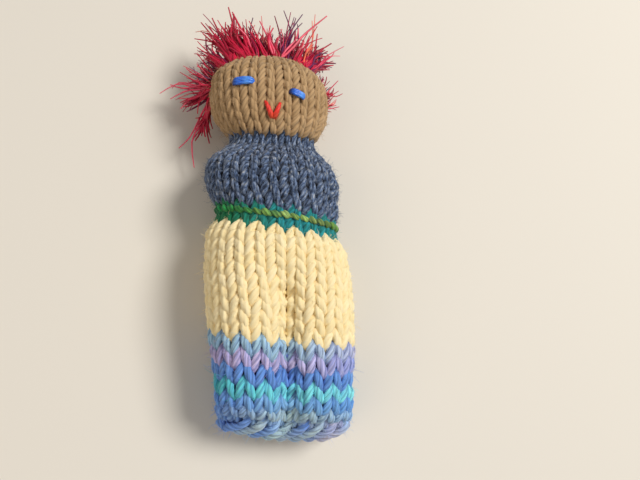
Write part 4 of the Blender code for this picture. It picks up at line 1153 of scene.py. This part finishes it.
lashes = {
    "strand": {"tipShare": 0.45, "pointsAlong": 8, "sides": 4}, "bend": 0.20, "rootInset": 1.0, "seed": 17,
    "thicker": 1.3, "shortest": 0.48, "highest": 67.9, "turnScatter": 9, "rest": (1.0, 0.9),
    "look": {"roughness": 0.34, "tones": [
        (0.0, "#A01636"), (0.20, "#D01F48"), (0.5, "#C21A3E"), (0.60, "#8A1644"), (0.70, "#5A2A5E"),
        (0.78, "#7A1F4E"), (0.85, "#E8476A"), (0.92, "#F0607E"), (1.0, "#E8764F")]},
}
# The last courses of the head, worked in the eyelash yarn and drawn together
hairBed = {
    "low": 64.2, "courses": (16, 12, 8), "dye": ("#9E1638", "#6E1840", 0.7), "seed": 31,
    "knit": dict(head["knit"], uneven=0.12,
                 yarn={"radius": 1.15, "plies": 3, "plyDepth": 0.3, "twist": 6.0, "pointsRound": 12}),
    "look": dict(woolLook, shade="#2A0614", furrow=0.5, hidden=0.8, streaks=0.25, fibreLength=2.0,
                 roughness=0.6, specular=0.4, sheen=0.1, bump=0.6),
}


def fanStrands(chance, shares, turns, lengths, lean, spread, count, girth, tones):
    # Roots over a patch of the scalp; the strands follow the skin's normal and the comb
    places = doll["neck"] + (doll["crown"] - doll["neck"]) * chance.uniform(*shares, count)
    turns = np.radians(chance.uniform(*turns, count))
    ways = skinNormal(places, turns) + np.array(lean) + chance.uniform(-1, 1, (count, 3)) * spread
    ways *= (chance.uniform(*lengths, count) / np.linalg.norm(ways, axis=1))[:, None]
    return underSkin(places, turns, lashes["rootInset"]), ways


def lockStrands(chance, root, tip, scatter, count, girth, tones):
    # Roots close together, tips gathered about one point. A pair of strands keeps its full length
    places = root[0] + chance.uniform(-0.5, 0.5, count) * scatter[0]
    turns = np.radians(root[1]) + chance.uniform(-0.5, 0.5, count) * scatter[0] / lashes["turnScatter"]
    roots = underSkin(np.clip(places, doll["sole"], lashes["highest"]), turns, lashes["rootInset"])
    ways = np.array(tip) + chance.normal(0, scatter[1] / 2, (count, 3)) - roots
    return roots, ways * chance.uniform(lashes["shortest"], 1.0, count)[:, None] ** (1 if count > 2 else 0)


def makeHair():
    material = lashMaterial("dyed nylon eyelash yarn", lashes["look"])
    chance = np.random.default_rng(lashes["seed"])
    for name, part in hair.items():
        strands = [fanStrands(chance, *fan) for fan in part["fans"]]
        strands += [lockStrands(chance, *lock) for lock in part["locks"]]
        roots, ways = (np.concatenate(found) for found in zip(*strands))
        ends = [group[-3:] for group in part["fans"] + part["locks"]]
        girths = np.concatenate([chance.uniform(*girth, count) for count, girth, tone in ends])
        girths *= lashes["thicker"]
        tones = np.concatenate([chance.uniform(*tone, count) for count, girth, tone in ends])
        long = np.linalg.norm(ways, axis=1)[:, None]
        sways = chance.uniform(-1, 1, (len(roots), 3)) * long * lashes["bend"]
        # Nothing grows through the table that the doll lies on
        ways[:, 2] = np.maximum(ways[:, 2], lashes["rest"][0] - roots[:, 2])
        sways[:, 2] = np.maximum(sways[:, 2], lashes["rest"][1] - roots[:, 2] - ways[:, 2])
        tint = ("tone", "FLOAT", tones)
        piece = growStrands(name, roots, ways, girths, sways, tint, lashes["strand"], material)
        settle(piece, [part["node"]], "eyelash_yarn", "head")


def makeHairBed():
    chance = np.random.default_rng(hairBed["seed"])
    low, high = runAtPlace(hairBed["low"]), runAtPlace(doll["crown"])
    pitch = (high - low) / len(hairBed["courses"])
    dyeAt = evenDye(*hairBed["dye"])
    courses = []
    for row, stitches in enumerate(hairBed["courses"]):
        knit = dict(hairBed["knit"], stitches=stitches)
        courses.append(layCourse(low + (row + 0.5) * pitch, pitch, knit, chance, dyeAt))
    material = woolMaterial("core of the eyelash yarn", hairBed["look"])
    settle(spinYarn("hairBed", courses, hairBed["knit"]["yarn"], material), [], "eyelash_yarn", "head")


makeHair()
makeHairBed()
print("hair grown")

fuzz = {
    # Stray fibres of the wool, fine enough to soften the outline only
    "counts": {"bootKnit": 1900, "trouserKnit": 2300, "beltKnit": 420, "jumperKnit": 2200, "neckGather": 300,
               "headKnit": 1700, "soleSeam": 500},
    "length": (0.7, 2.3), "girth": (0.030, 0.052), "spread": 0.9, "bend": 0.45, "seed": 5,
    "strand": {"tipShare": 0.5, "pointsAlong": 4, "sides": 3}, "lowest": 0.5, "rest": 0.3,
    # The doll's axis, as x by y and its height, and how far a face must look away from it
    "axis": (0.02, 15.0), "facing": 0.35,
}


def fuzzMaterial():
    # A single wool fibre is half clear and catches the light
    material, tree, inputs = newMaterial("stray wool fibres", {"Roughness": 0.6, "Specular IOR Level": 0.3})
    dye = addNode(tree, "ShaderNodeAttribute", attribute_name="dye").outputs["Color"]
    cloudDye(tree, inputs, dye, 400.0, 1.0, 0.85)
    return material


def readMesh(items, field, size, kind=float):
    values = np.empty(len(items) * size, kind)
    items.foreach_get(field, values)
    return values.reshape(-1, size) if size > 1 else values


def makeFuzz(name, count, material):
    # Roots on the outward faces of a knitted piece, each with the dye of its face
    mesh = bpy.data.objects[name].data
    faces = len(mesh.polygons)
    centres, normals = readMesh(mesh.polygons, "center", 3) / mm, readMesh(mesh.polygons, "normal", 3)
    corners = readMesh(mesh.polygons, "loop_start", 1, int)
    verts = readMesh(mesh.loops, "vertex_index", 1, int)
    dyes = readMesh(mesh.attributes["dye"].data, "color", 4, np.float32)
    lean, height = fuzz["axis"]
    outward = centres - np.stack([lean * centres[:, 1], centres[:, 1], np.full(faces, height)], axis=-1)
    outward /= np.linalg.norm(outward, axis=1, keepdims=True)
    chance = np.random.default_rng(fuzz["seed"] + faces)
    bare = (np.sum(normals * outward, axis=1) > fuzz["facing"]) & (centres[:, 2] > fuzz["lowest"])
    picked = chance.choice(np.flatnonzero(bare), count, replace=False)
    ways = normals[picked] + chance.uniform(-1, 1, (count, 3)) * fuzz["spread"]
    long = chance.uniform(*fuzz["length"], count)[:, None]
    ways *= long / np.linalg.norm(ways, axis=1, keepdims=True)
    sways = chance.uniform(-1, 1, (count, 3)) * long * fuzz["bend"]
    ways[:, 2] = np.maximum(ways[:, 2], fuzz["rest"] - centres[picked, 2])
    tint = ("dye", "FLOAT_COLOR", dyes[verts[corners[picked]]])
    girths = chance.uniform(*fuzz["girth"], count)
    label = name.replace("Knit", "") + "Fuzz"
    piece = growStrands(label, centres[picked], ways, girths, sways, tint, fuzz["strand"], material)
    settle(piece, [], *settledAs[name])


strayFibres = fuzzMaterial()
for name, count in fuzz["counts"].items():
    makeFuzz(name, count, strayFibres)
print("stray fibres grown")

studio = {
    "floorColour": "#DEDAD2", "floorSize": 2.4, "worldColour": "#F2F2F2", "worldStrength": 0.30,
    "target": (0.0143, 0.0050, 0.0140), "distance": 0.1648, "tilt": 19.3, "azimuth": -42.0, "roll": -4.7,
    "focalPixels": 521.0, "imageWidth": 640, "sensor": 36.0, "aim": (0, 0, 0.015),
    # Place, size, watts and colour of each lamp
    "lamps": {"keyLamp": ((0.62, 0.20, 0.95), 0.48, 11.7, "#FFFAF2"),
              "fillLamp": ((-0.45, -0.20, 0.45), 0.45, 0.9, "#FFEBD2")},
}


def makeStage():
    # Matt painted board: a pale, even ground that shows the doll's soft shadow
    mesh = bpy.data.meshes.new("floor")
    half = studio["floorSize"] / 2
    corners = [(-half, -half, 0), (half, -half, 0), (half, half, 0), (-half, half, 0)]
    mesh.from_pydata(corners, [], [(0, 1, 2, 3)])
    colour = toLinear(studio["floorColour"])
    mesh.materials.append(newMaterial("painted studio board", {"Base Color": colour, "Roughness": 0.9})[0])
    addObject("floor", mesh)


def addLamp(name, place, size, watts, colour):
    data = bpy.data.lights.new(name, "AREA")
    data.shape = "DISK"
    data.size = size
    data.energy = watts
    data.color = toLinear(colour)[:3]
    lamp = addObject(name, data)
    lamp.location = place
    lamp.rotation_euler = (Vector(studio["aim"]) - Vector(place)).to_track_quat("-Z", "Y").to_euler()


def makeCamera():
    azimuth, tilt, roll = (math.radians(studio[k]) for k in ("azimuth", "tilt", "roll"))
    away = Vector((math.sin(azimuth) * math.sin(tilt), -math.cos(azimuth) * math.sin(tilt), math.cos(tilt)))
    right = Vector((0, 1, 0)).cross(away).normalized()
    up = away.cross(right)
    turnedRight = right * math.cos(roll) + up * math.sin(roll)
    turnedUp = up * math.cos(roll) - right * math.sin(roll)
    data = bpy.data.cameras.new("camera")
    data.sensor_width = studio["sensor"]
    data.lens = studio["focalPixels"] / studio["imageWidth"] * studio["sensor"]
    data.clip_start = 0.005
    camera = addObject("camera", data)
    camera.location = Vector(studio["target"]) + away * studio["distance"]
    camera.rotation_euler = Matrix((turnedRight, turnedUp, away)).transposed().to_euler()
    bpy.context.scene.camera = camera


def makeWorld():
    world = bpy.data.worlds.new("soft room")
    world.use_nodes = True
    inputs = world.node_tree.nodes["Background"].inputs
    inputs["Color"].default_value = toLinear(studio["worldColour"])
    inputs["Strength"].default_value = studio["worldStrength"]
    bpy.context.scene.world = world
    bpy.context.scene.view_settings.view_transform = "Standard"


makeStage()
makeCamera()
makeWorld()
for name, values in studio["lamps"].items():
    addLamp(name, *values)
print("stage, lamps and camera set")

print("CAD nodes still shown:", [name for name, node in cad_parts.items() if not node.hide_render])
